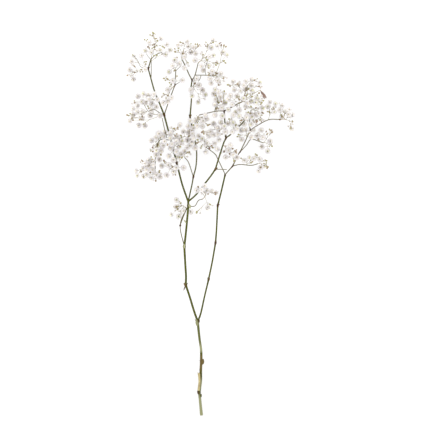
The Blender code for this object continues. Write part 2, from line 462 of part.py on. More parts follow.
class Room:
    """The space that is taken, as capsules, each with the name of the body that holds it."""

    def __init__(self):
        self.rows = []
        self.owners = []
        self.table = None

    def add(self, owner, start, end, radius):
        self.rows.append((*start, *end, radius))
        self.owners.append(owner)
        self.table = None

    def others(self, owner):
        if self.table is None or self.table[0] != (owner, len(self.rows)):
            kept = [row for row, name in zip(self.rows, self.owners) if name != owner]
            self.table = ((owner, len(self.rows)), np.array(kept).reshape(-1, 7))
        return self.table[1]

    def gap(self, owner, start, end, radius):
        """The clear distance from a capsule to everything that other bodies hold."""
        rows = self.others(owner)
        if not len(rows):
            return math.inf
        first = np.array(start)
        along = np.array(end) - first
        second = rows[:, 0:3]
        across = rows[:, 3:6] - second
        apart = first - second
        own = float(along @ along) + 1e-12
        other = np.einsum("ij,ij->i", across, across) + 1e-12
        shared = across @ along
        off_own = apart @ along
        off_other = np.einsum("ij,ij->i", across, apart)
        spread = own * other - shared * shared + 1e-12
        s = np.clip((shared * off_other - off_own * other) / spread, 0, 1)
        t = np.clip((shared * s + off_other) / other, 0, 1)
        s = np.clip((shared * t - off_own) / own, 0, 1)
        between = apart + s[:, None] * along - t[:, None] * across
        return float((np.linalg.norm(between, axis=1) - rows[:, 6]).min() - radius)


def limb_points(name):
    """A limb's points, with two more on either side of each swollen joint."""
    points = LIMBS[name][1]
    swollen = {index for limb, index, _ in KNOTS if limb == name}
    slim = LIMBS[name][0] < KNOT_LEAST_SIDES
    found = []
    for index, (x, y, z, radius) in enumerate(points):
        here = Vector((x, y, z))
        if index not in swollen or slim:
            found.append((here, radius * (KNOT_SLIM_SWELL if index in swollen else 1)))
            continue
        for step in (-1, 0, 1):
            if step == 0:
                found.append((here, radius * KNOT_SWELL))
            elif 0 <= index + step < len(points):
                towards = (Vector(points[index + step][:3]) - here).normalized()
                found.append((here + towards * KNOT_REACH, radius))
    return found


def bracts():
    """The scale leaves, as their base, their direction and their length."""
    rng = random.Random(BRACT_SEED)
    found = []
    for name, index, count in KNOTS:
        points = LIMBS[name][1]
        here = Vector(points[index][:3])
        before = Vector(points[max(index - 1, 0)][:3])
        after = Vector(points[min(index + 1, len(points) - 1)][:3])
        along = (after - before).normalized()
        side = along.cross(Vector((0, 0, 1))).normalized()
        for number in range(count):
            way = side * (1 if number == 0 else -1) * (-1 if index % 2 else 1)
            lift = Vector((0, 0, rng.uniform(0, BRACT_LIFT)))
            lean = (along * BRACT_ALONG + way * BRACT_ACROSS + lift).normalized()
            radius = points[index][3]
            length = BRACT_LENGTH * (BRACT_BASE_SHARE + BRACT_RADIUS_SHARE * radius)
            found.append((here + way * radius / 2, lean, length))
    return found


def occupy_limbs(room):
    for name in LIMBS:
        points = limb_points(name)
        for (start, first), (end, second) in zip(points, points[1:]):
            room.add("main_stem", start, end, max(first, second))
    for base, lean, length in bracts():
        room.add("main_stem", base, base + lean * length, BRACT_RADIUS)


def random_in_ball(rng):
    while True:
        found = Vector((rng.uniform(-1, 1), rng.uniform(-1, 1), rng.uniform(-1, 1)))
        if found.length <= 1:
            return found


def scatter(owner, blooms, buds, rng, room, placed):
    """Places the heads of a spray near their places in the table, each clear of all the others."""
    wanted = [("bloom", (x, y, z), BLOOM_RADIUS * share, BLOOM_STRAY) for x, y, z, share in blooms]
    for x, y, z, number in buds:
        stray = BUD_STRAY * math.sqrt(number)
        wanted += [("bud", (x, y, z), BUD_RADIUS, stray)] * ((number + BUD_EXCESS) // BUD_SHARE)
    found = []
    for kind, middle, size, stray in wanted:
        for attempt in range(PLACE_ATTEMPTS):
            place = Vector(middle) + random_in_ball(rng) * (stray + attempt * STRAY_GROWTH)
            place.z = max(place.z, size + LOWEST_GAP)
            if apart(kind, place, size, placed + found) and room.gap(owner, place, place, size) > CLEARANCE:
                found.append(Head(kind, place, size))
                break
    return found


def apart(kind, place, radius, heads):
    """Whether a head of this kind and size would stand far enough from all the others."""
    for other in heads:
        share = BLOOM_SPACING if kind == other.kind == "bloom" else BUD_SPACING
        if (place - other.place).length < (radius + other.radius) * share:
            return False
    return True


def split(fork, group, rng):
    """Parts the heads beyond a fork into two or three, by the way that they lie."""
    if len(group) <= LARGEST_FAN:
        return [[head] for head in group]
    ways = [(head.place - fork).normalized() for head in group]
    pairs = [(ways[i].dot(ways[j]), i, j) for i in range(len(ways)) for j in range(i)]
    _, first, second = min(pairs)
    parts = [[], []]
    for head, way in zip(group, ways):
        parts[way.dot(ways[second]) > way.dot(ways[first])].append(head)
    near = min(group, key=lambda head: (head.place - fork).length)
    if rng.random() < NEAR_CHANCE:
        parts = [[head for head in part if head is not near] for part in parts] + [[near]]
    return [part for part in parts if part]


class Grower:
    """Grows the sprigs that carry one spray's heads, clear of what other bodies hold."""

    def __init__(self, owner, heads, rng, room):
        self.owner = owner
        self.heads = heads
        self.rng = rng
        self.room = room

    def clear(self, start, end, radius, flat_start=True):
        """Whether a stalk from start to end is clear of every other body."""
        inset = (end - start).normalized() * min(radius, (end - start).length / 2) * flat_start
        return self.room.gap(self.owner, start + inset, end, radius) > RUN_CLEARANCE

    def misses_heads(self, start, end, radius, own=None):
        """Whether a stalk passes beside the spray's own blooms and buds."""
        along = end - start
        for head in self.heads:
            if head is own:
                continue
            share = max(0, min(1, (head.place - start).dot(along) / max(along.length_squared, 1e-9)))
            if (head.place - start - along * share).length < head.radius * HEAD_SHARE + radius:
                return False
        return True

    def tip_points(self, start, head):
        """A straight stalk to a head or, where something is in the way, a bent one."""
        straight = neck_of(head, start)
        free = self.clear(start, straight, TIP_RADIUS)
        if free and self.misses_heads(start, straight, TIP_RADIUS, head):
            return [start, straight]
        for attempt in range(BEND_ATTEMPTS):
            bend = start.lerp(head.place, self.rng.uniform(BEND_FROM, BEND_TO))
            bend += random_in_ball(self.rng) * (BEND_WANDER + BEND_WANDER_GROWTH * attempt)
            bend.z = max(bend.z, LOWEST_STALK)
            end = neck_of(head, bend)
            if not self.clear(start, bend, TIP_RADIUS) or not self.clear(bend, end, TIP_RADIUS, False):
                continue
            runs = ((start, bend), (bend, end))
            if all(self.misses_heads(*run, TIP_RADIUS, head) for run in runs):
                return [start, bend, end]
        return [start, straight] if free else None

    def fork_place(self, start, heading, group):
        """Where a stalk forks on its way to a group, or nothing if it forks at once."""
        centre = sum((head.place for head in group), Vector()) / len(group)
        nearest = min((head.place - start).length for head in group)
        step = min(FORK_SHARE * (centre - start).length, nearest - SHORTEST_STALK)
        if step < LEAST_STEP:
            return None
        spare = None
        for attempt in range(FORK_ATTEMPTS):
            course = (centre - start).normalized() * CENTRE_PULL + heading * HEADING_PULL
            course += random_in_ball(self.rng) * (FORK_WANDER + FORK_WANDER_GROWTH * attempt)
            fork = start + course.normalized() * step
            fork.z = max(fork.z, LOWEST_STALK)
            if self.clear(start, fork, MOST_RADIUS):
                if self.misses_heads(start, fork, MOST_RADIUS):
                    return fork
                spare = spare or fork
        return spare

    def grow(self, start, heading, group):
        """The sprigs that carry a group of heads. The first one starts at start, and the rest at forks."""
        if len(group) == 1:
            points = self.tip_points(start, group[0])
            return [Sprig(points, group[0])] if points else []
        fork = self.fork_place(start, heading, group)
        at = fork or start
        way = (at - start).normalized() if fork else heading
        grown = [self.grow(at, way, part) for part in split(at, group, self.rng)]
        grown = [sprigs for sprigs in grown if sprigs]
        if fork and grown:
            onward = max(grown, key=lambda sprigs: self.onward_score(sprigs, at, way))
            grown.remove(onward)
            grown.insert(0, onward)
            onward[0].points.insert(0, start)
        return [sprig for sprigs in grown for sprig in sprigs]

    def onward_score(self, sprigs, fork, way):
        """How much a branch looks like the main one beyond a fork: straight on, and with many heads."""
        return (sprigs[0].points[1] - fork).normalized().dot(way) + LOAD_PULL * len(sprigs)

    def rescue(self, sprigs):
        """Hangs each head that no stalk has reached on the nearest fork from which one can."""
        for head in self.heads:
            if any(sprig.head is head for sprig in sprigs):
                continue
            forks = [point for sprig in sprigs for point in sprig.points[1:-1]]
            forks.sort(key=lambda point: (point - head.place).length)
            for fork in forks[:NEAREST_FORKS]:
                points = self.tip_points(fork, head)
                if points:
                    sprigs.append(Sprig(points, head))
                    break


def facing_of(head, start):
    return head.facing or (head.place - start).normalized()


def neck_of(head, start):
    if head.kind == "withered":
        return Vector(WITHERED_NECK)
    depth = NECK_DEPTH * head.radius if head.kind == "bloom" else BUD_LENGTH / 2
    return head.place - facing_of(head, start) * depth


def root_start(grower, root, heading):
    """The first point off the limb where the flat base of a stalk, and its first run, are clear of it."""
    side = heading.cross(Vector(SIDE_GUIDE)).normalized()
    up = heading.cross(side)
    reach = ROOT_REACH
    while True:
        here = root + heading * reach
        rim = [here] + circle(here, side, up, MOST_RADIUS, RIM_POINTS)
        rim_clear = min(grower.room.gap(grower.owner, point, point, 0) for point in rim) > CLEARANCE
        if rim_clear and grower.clear(here, here + heading * ROOT_RUN, MOST_RADIUS):
            return here
        reach += ROOT_STEP


def thicken(sprigs):
    """Gives each stalk its radius: a little more for each head that it carries."""
    for sprig in sprigs:
        sprig.radii = [TIP_RADIUS] * len(sprig.points)
    for index in range(len(sprigs) - 1, -1, -1):
        sprig = sprigs[index]
        for number in range(len(sprig.points) - 2, -1, -1):
            point = sprig.points[number + 1]
            carried = [other.radii[0] for other in sprigs[index + 1:] if other.points[0] is point]
            load = sprig.radii[number + 1] + LOAD_RADIUS * len(carried)
            sprig.radii[number] = min(load, MOST_RADIUS)
    for sprig in sprigs:
        for number in range(1, len(sprig.radii) - 1):
            sprig.radii[number] = min(sprig.radii[number] * FORK_SWELL, MOST_RADIUS)
        if sprig.points[0] is not sprigs[0].points[0]:
            sprig.radii[0] = TIP_RADIUS * SUNK_SHARE


def limb_way(root):
    """The direction in which a limb ends at a root, or nothing where the root isn't a limb's tip."""
    for _, points in LIMBS.values():
        if (Vector(points[-1][:3]) - root).length < ROOT_STEP:
            return (root - Vector(points[-2][:3])).normalized()
    return Vector()


def occupy_sprigs(name, sprigs, room, placed):
    for sprig in sprigs:
        for number, (first, second) in enumerate(zip(sprig.points, sprig.points[1:])):
            room.add(name, first, second, max(sprig.radii[number:number + 2]))
        room.add(name, *sprig.head.body(facing_of(sprig.head, sprig.points[-2])))
        placed.append(sprig.head)


def grow_spray(name, seed, room, placed):
    root, blooms, buds = SPRAYS[name]
    root = Vector(root)
    rng = random.Random(seed)
    heads = [
        Head("bloom", Vector((x, y, BLOOM_RADIUS * PRESSED_HEIGHT)), BLOOM_RADIUS, Vector((0, 0, -1)))
        for owner, x, y in RESTING
        if owner == name
    ]
    heads += scatter(name, blooms, buds, rng, room, placed + heads)
    centre = sum((head.place for head in heads), Vector()) / len(heads)
    heading = ((centre - root).normalized() + limb_way(root)).normalized()
    grower = Grower(name, heads, rng, room)
    sprigs = grower.grow(root_start(grower, root, heading), heading, heads)
    grower.rescue(sprigs)
    thicken(sprigs)
    occupy_sprigs(name, sprigs, room, placed)
    return sprigs


def grow_withered(room, placed):
    """The withered bloom, on a stalk of its own."""
    root = Vector(WITHERED_ROOT)
    neck = Vector(WITHERED_NECK)
    tip = Vector(WITHERED_TIP)
    head = Head("withered", (neck + tip) / 2, WITHERED_RADIUS, (tip - neck).normalized())
    grower = Grower("withered_bloom", [head], random.Random(WITHERED_SEED), room)
    heading = (neck - root).normalized()
    sprigs = [Sprig([root_start(grower, root, heading), neck], head)]
    thicken(sprigs)
    occupy_sprigs("withered_bloom", sprigs, room, placed)
    return sprigs


def grow_all():
    """Every spray's sprigs, by name. Each spray keeps clear of the limbs and of the sprays before it."""
    room = Room()
    occupy_limbs(room)
    placed = []
    grown = {"withered_bloom": grow_withered(room, placed)}
    for seed, name in enumerate(SPRAYS, start=FIRST_SEED):
        grown[name] = grow_spray(name, seed, room, placed)
    return grown


def new_material(name, colour, roughness):
    material = bpy.data.materials.new(name)
    material.use_nodes = True
    shader = material.node_tree.nodes["Principled BSDF"]
    shader.inputs["Base Color"].default_value = (*colour, 1)
    shader.inputs["Roughness"].default_value = roughness
    shader.inputs["Metallic"].default_value = 0
    return material


def new_object(name, mesh, collection, material):
    found = bpy.data.objects.new(name, mesh)
    found.data.materials.clear()
    found.data.materials.append(material)
    collection.objects.link(found)
    return found


def placed_point(point):
    """A point of the routes in the part's own frame, in metres."""
    return Vector((point[0] + SHIFT_X, point[1] + SHIFT_Y, point[2])) * MM


def tube(name, points, sides, collection, material):
    """A limb as a bevelled curve with caps, made a mesh so that it can be joined."""
    curve = bpy.data.curves.new(name, "CURVE")
    curve.dimensions = "3D"
    curve.bevel_depth = MM
    curve.bevel_resolution = sides // 2 - 2
    curve.use_fill_caps = True
    spline = curve.splines.new("POLY")
    spline.points.add(len(points) - 1)
    for target, (place, radius) in zip(spline.points, points):
        target.co = (*placed_point(place), 1)
        target.radius = radius
    guide = bpy.data.objects.new(name, curve)
    collection.objects.link(guide)
    bpy.context.view_layer.update()
    mesh = bpy.data.meshes.new_from_object(guide.evaluated_get(bpy.context.evaluated_depsgraph_get()))
    bpy.data.objects.remove(guide)
    bpy.data.curves.remove(curve)
    weld(mesh)
    return new_object(name, mesh, collection, material)


def shade(obj):
    """Shades the rounded surfaces smooth and keeps the sharp edges."""
    obj.data.shade_smooth()
    obj.data.set_sharp_from_angle(angle=SHARP_ANGLE)


def weld(mesh):
    bm = bmesh.new()
    bm.from_mesh(mesh)
    bmesh.ops.remove_doubles(bm, verts=bm.verts, dist=0.00001)
    bmesh.ops.recalc_face_normals(bm, faces=bm.faces)
    bm.to_mesh(mesh)
    bm.free()


def join(first, collection):
    """Joins every other object of a collection to the first, with one Boolean union."""
    others = bpy.data.collections.new(first.name + "_pieces")
    bpy.context.scene.collection.children.link(others)
    for piece in [piece for piece in collection.objects if piece is not first]:
        collection.objects.unlink(piece)
        others.objects.link(piece)
    union = first.modifiers.new("union", "BOOLEAN")
    union.operation = "UNION"
    union.operand_type = "COLLECTION"
    union.collection = others
    union.solver = "MANIFOLD"
    bpy.context.view_layer.update()
    mesh = bpy.data.meshes.new_from_object(first.evaluated_get(bpy.context.evaluated_depsgraph_get()))
    first.modifiers.remove(union)
    first.data = mesh
    for piece in list(others.objects):
        bpy.data.objects.remove(piece)
    bpy.data.collections.remove(others)


def circle(centre, side, up, radius, count, phase=0.0):
    turns = [phase + 2 * math.pi * index / count for index in range(count)]
    return [centre + (side * math.cos(turn) + up * math.sin(turn)) * radius for turn in turns]


def bloom_rings(head, facing, side, up):
    """The petal rim, with a notch between petals, and the raised inner petals."""
    radius = head.radius
    petals = PETALS if radius > SMALL_BLOOM * BLOOM_RADIUS else PETALS - 1
    rim = []
    for index, point in enumerate(circle(Vector(), side, up, radius, 2 * petals)):
        if index % 2:
            rim.append(head.place + point * PETAL_NOTCH - facing * radius * NOTCH_DROP)
        else:
            rim.append(head.place + point + facing * radius * RIM_RISE)
    if head.facing:
        middle = Vector((head.place.x, head.place.y, 0))
        return [rim, circle(middle, side, up, PRESSED_RADIUS, petals, math.pi / petals)]
    middle = head.place + facing * radius * CROWN_RISE
    if petals < PETALS:
        return [rim, [middle]]
    return [rim, circle(middle, side, up, radius * CROWN_RADIUS, CROWN_POINTS)]


def withered_rings(side, up):
    """A shrunken, folded bloom that hangs from its neck to its tip."""
    neck = Vector(WITHERED_NECK)
    tip = Vector(WITHERED_TIP)
    rings = []
    for share, swell in WITHERED_SWELLS:
        middle = neck.lerp(tip, share)
        ring = circle(middle, side, up, WITHERED_RADIUS * swell, 2 * PETALS)
        rings.append([point.lerp(middle, WITHERED_FOLD * (index % 2)) for index, point in enumerate(ring)])
    return rings + [[tip]]


def sprig_rings(sprig):
    """The rings of points that a sprig's surface runs through, from its root to its tip."""
    points = sprig.points
    facing = facing_of(sprig.head, points[-2])
    ways = [(after - before).normalized() for before, after in zip(points, points[1:])]
    side = ways[0].cross(Vector(SIDE_GUIDE)).normalized()
    rings = []
    for index, (point, radius) in enumerate(zip(points, sprig.radii)):
        last = ways[min(index, len(ways) - 1)]
        way = (ways[max(index - 1, 0)] + last).normalized()
        if index == len(points) - 1:
            way = (way + facing).normalized()
        side = (side - way * side.dot(way)).normalized()
        rings.append(circle(point, side, way.cross(side), radius, STALK_SIDES))
    side = (side - facing * side.dot(facing)).normalized()
    up = facing.cross(side)
    if sprig.head.kind == "bloom":
        return rings + bloom_rings(sprig.head, facing, side, up)
    if sprig.head.kind == "withered":
        return rings + withered_rings(side, up)
    belly = sprig.head.place - facing * BUD_LENGTH * BUD_BELLY
    tip = sprig.head.place + facing * BUD_LENGTH / 2
    return rings + [circle(belly, side, up, BUD_RADIUS, BUD_SIDES), [tip]]


def bridge(bm, lower, upper):
    """Fills the band between two rings that may differ in their number of points."""
    low = high = 0
    while low < len(lower) or high < len(upper):
        low_first = low < len(lower) and (low + 0.5) / len(lower) <= (high + 0.5) / len(upper)
        if high >= len(upper) or low_first:
            corners = (lower[low], lower[(low + 1) % len(lower)], upper[high % len(upper)])
            low += 1
        else:
            corners = (upper[(high + 1) % len(upper)], upper[high], lower[low % len(lower)])
            high += 1
        if len(set(corners)) == 3:
            bm.faces.new(corners)


def sprig_object(name, sprig, collection, material):
    """One stalk with its bloom or bud, as a closed loft from the stalk's three sides to the petals' rim."""
    bm = bmesh.new()
    rings = [[bm.verts.new(placed_point(point)) for point in ring] for ring in sprig_rings(sprig)]
    for lower, upper in zip(rings, rings[1:]):
        bridge(bm, lower, upper)
    bm.faces.new(reversed(rings[0]))
    if len(rings[-1]) > 2:
        bm.faces.new(rings[-1])
    bmesh.ops.triangulate(bm, faces=bm.faces)
    bmesh.ops.recalc_face_normals(bm, faces=bm.faces)
    mesh = bpy.data.meshes.new(name)
    bm.to_mesh(mesh)
    bm.free()
    return new_object(name, mesh, collection, material)


def bract_object(name, base, lean, length, collection, material):
    """A scale leaf, as a slim cone with few sides."""
    bm = bmesh.new()
    wide = BRACT_RADIUS * MM
    bmesh.ops.create_cone(
        bm, segments=BRACT_SIDES, radius1=wide, radius2=wide * BRACT_TIP, depth=length * MM, cap_ends=True
    )
    bmesh.ops.translate(bm, verts=bm.verts, vec=(0, 0, length * MM / 2))
    mesh = bpy.data.meshes.new(name)
    bm.to_mesh(mesh)
    bm.free()
    mesh.transform(lean.to_track_quat("Z", "Y").to_matrix().to_4x4())
    found = new_object(name, mesh, collection, material)
    found.location = placed_point(base)
    return found


def make_main_stem(part, material):
    pieces = bpy.data.collections.new("main_stem_parts")
    bpy.context.scene.collection.children.link(pieces)
    for name, (sides, _) in LIMBS.items():
        tube(name, limb_points(name), sides, pieces, material)
    for number, (base, lean, length) in enumerate(bracts()):
        bract_object(f"bract_{number}", base, lean, length, pieces, material)
    stem = pieces.objects["trunk"]
    join(stem, pieces)
    stem.name = "main_stem"
    shade(stem)
    pieces.objects.unlink(stem)
    part.objects.link(stem)
    bpy.data.collections.remove(pieces)


def trunk_at(y):
    """The trunk's middle and radius where it passes a given y."""
    points = LIMBS["trunk"][1]
    for first, second in zip(points, points[1:]):
        if first[1] <= y <= second[1]:
            share = (y - first[1]) / (second[1] - first[1])
            return Vector(first[:3]).lerp(Vector(second[:3]), share), max(first[3], second[3])
    return Vector(points[0][:3]), points[0][3]


def make_dry_sheath(part, material):
    """A thin shell round the trunk's left side, narrower and flared towards its torn top."""
    bm = bmesh.new()
    rows = []
    for station in range(SHEATH_STATIONS):
        share = station / (SHEATH_STATIONS - 1)
        middle, radius = trunk_at(SHEATH_FROM_Y + (SHEATH_TO_Y - SHEATH_FROM_Y) * share)
        reach = radius + SHEATH_GAP + SHEATH_FLARE * share ** SHEATH_FLARE_POWER
        half = SHEATH_ARC / 2 * (1 - SHEATH_TAPER * share)
        row = []
        for column in range(SHEATH_COLUMNS):
            turn = SHEATH_TURN + half * (2 * column / (SHEATH_COLUMNS - 1) - 1)
            point = middle + Vector((math.cos(turn), 0, math.sin(turn))) * reach
            row.append(bm.verts.new(placed_point(point)))
        rows.append(row)
    for lower, upper in zip(rows, rows[1:]):
        for column in range(SHEATH_COLUMNS - 1):
            bm.faces.new((lower[column], lower[column + 1], upper[column + 1], upper[column]))
    mesh = bpy.data.meshes.new("dry_sheath")
    bm.to_mesh(mesh)
    bm.free()
    sheath = new_object("dry_sheath", mesh, part, material)
    shell = sheath.modifiers.new("thickness", "SOLIDIFY")
    shell.thickness = SHEATH_THICKNESS * MM
    shell.offset = -1


def make_spray(name, sprigs, part, material):
    pieces = bpy.data.collections.new(name + "_parts")
    bpy.context.scene.collection.children.link(pieces)
    made = [sprig_object(f"{name}_{number}", sprig, pieces, material) for number, sprig in enumerate(sprigs)]
    spray = made[0]
    if len(made) > 1:
        join(spray, pieces)
    spray.name = name
    shade(spray)
    pieces.objects.unlink(spray)
    part.objects.link(spray)
    bpy.data.collections.remove(pieces)


def main():
    for old in list(bpy.data.objects):
        bpy.data.objects.remove(old)
    part = bpy.data.collections.new("gypsophila_stem")
    bpy.context.scene.collection.children.link(part)
    green = new_material("stem_green", (0.13, 0.17, 0.05), 0.6)
    white = new_material("petal_white", (0.82, 0.8, 0.76), 0.7)
    tan = new_material("dry_tan", (0.42, 0.29, 0.16), 0.8)
    brown = new_material("withered_brown", (0.33, 0.2, 0.16), 0.85)
    make_main_stem(part, green)
    make_dry_sheath(part, tan)
    for name, sprigs in grow_all().items():
        make_spray(name, sprigs, part, brown if name == "withered_bloom" else white)


main()
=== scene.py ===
"""Dresses the gypsophila stem: fine stalks, many-petalled blooms, buds, scale leaves and their materials.

The stalks and heads follow the same seeded rule, from the same tables, as the solids that they replace. More
buds are then hung on the same forks. Routes and sizes are in millimetres, and the meshes in metres.
"""

import math
import random

import bpy
import numpy as np
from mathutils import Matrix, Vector


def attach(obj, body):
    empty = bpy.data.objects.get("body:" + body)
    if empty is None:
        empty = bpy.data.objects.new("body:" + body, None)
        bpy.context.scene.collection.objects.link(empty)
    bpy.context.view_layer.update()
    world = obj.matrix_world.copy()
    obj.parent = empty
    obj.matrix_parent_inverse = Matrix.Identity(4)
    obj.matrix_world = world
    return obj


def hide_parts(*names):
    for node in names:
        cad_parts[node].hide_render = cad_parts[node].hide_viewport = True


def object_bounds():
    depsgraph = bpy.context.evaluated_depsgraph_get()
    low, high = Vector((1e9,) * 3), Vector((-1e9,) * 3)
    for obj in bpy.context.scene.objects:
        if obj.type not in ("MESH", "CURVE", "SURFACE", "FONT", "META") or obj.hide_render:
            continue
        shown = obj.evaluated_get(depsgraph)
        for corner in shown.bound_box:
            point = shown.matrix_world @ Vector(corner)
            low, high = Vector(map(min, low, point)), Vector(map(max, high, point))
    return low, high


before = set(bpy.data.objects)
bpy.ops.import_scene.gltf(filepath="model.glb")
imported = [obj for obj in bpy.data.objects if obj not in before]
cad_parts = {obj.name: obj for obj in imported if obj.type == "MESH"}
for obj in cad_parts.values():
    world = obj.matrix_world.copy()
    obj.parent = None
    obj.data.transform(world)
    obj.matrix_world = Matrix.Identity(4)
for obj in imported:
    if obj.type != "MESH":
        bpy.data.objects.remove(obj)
cad_low, cad_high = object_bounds()

MM = 0.001

# These keep a division by the length of a very short run from failing.
TINY = 1e-12
LEAST_SQUARED = 1e-9

# Moves the routes so that the box round the whole stem is centred on the origin.
SHIFT_X = -0.332
SHIFT_Y = -0.323

# Blooms and buds
BLOOM_RADIUS = 3.4
BLOOM_SPACING = 0.86
SMALL_BLOOM = 0.92
BUD_RADIUS = 1.0
BUD_LENGTH = 2.4
BUD_SPACING = 1.3
BUD_SHARE = 4
BUD_EXCESS = 2
NECK_DEPTH = 0.95
PRESSED_HEIGHT = 0.62

# How far the heads may stray from their places in the table
BLOOM_STRAY = 0.4
BUD_STRAY = 1.3
STRAY_GROWTH = 0.05
PLACE_ATTEMPTS = 80

# Stalks
TIP_RADIUS = 0.36
LOAD_RADIUS = 0.07
MOST_RADIUS = 0.6
LOWEST_STALK = 1.5
LOWEST_GAP = 0.6
FORK_SHARE = 0.5
SHORTEST_STALK = 4.0
LEAST_STEP = 2.0
CLEARANCE = 0.35
RUN_CLEARANCE = 0.32
ROOT_STEP = 0.05
ROOT_RUN = 3.0
SUNK_SHARE = 0.45
FORK_SWELL = 1.35
FORK_ATTEMPTS = 24
FORK_WANDER = 0.08
FORK_WANDER_GROWTH = 0.03
CENTRE_PULL = 0.72
HEADING_PULL = 0.28
LOAD_PULL = 0.2
BEND_ATTEMPTS = 30
BEND_FROM = 0.3
BEND_TO = 0.6
BEND_WANDER = 2.0
BEND_WANDER_GROWTH = 1 / 6
HEAD_SHARE = 0.9
ROOT_REACH = 0.3
RIM_POINTS = 8
LARGEST_FAN = 3
NEAR_CHANCE = 0.5
NEAREST_FORKS = 12
SIDE_GUIDE = (0.31, 0.22, 0.92)
FIRST_SEED = 11

# Joints of the limbs
KNOT_SWELL = 1.45
KNOT_REACH = 1.8
KNOT_LEAST_SIDES = 6
KNOT_SLIM_SWELL = 1.25
BRACT_LENGTH = 3.2
BRACT_RADIUS = 0.55
BRACT_SEED = 5
BRACT_ALONG = 0.85
BRACT_ACROSS = 0.5
BRACT_LIFT = 0.25
BRACT_BASE_SHARE = 0.7
BRACT_RADIUS_SHARE = 0.3

# The dry sheath that clasps the trunk's left side
SHEATH_FROM_Y = -169.3
SHEATH_TO_Y = -150.6
SHEATH_GAP = 0.35
SHEATH_ARC = 1.9
SHEATH_FLARE = 0.9
SHEATH_FLARE_POWER = 3
SHEATH_TURN = math.pi - 0.35

# The withered bloom at the upper right
WITHERED_ROOT = (34.0, 125.7, 36.0)
WITHERED_NECK = (50.5, 135.7, 34.0)
WITHERED_TIP = (55.3, 128.6, 32.6)
WITHERED_RADIUS = 1.2
WITHERED_SEED = 3

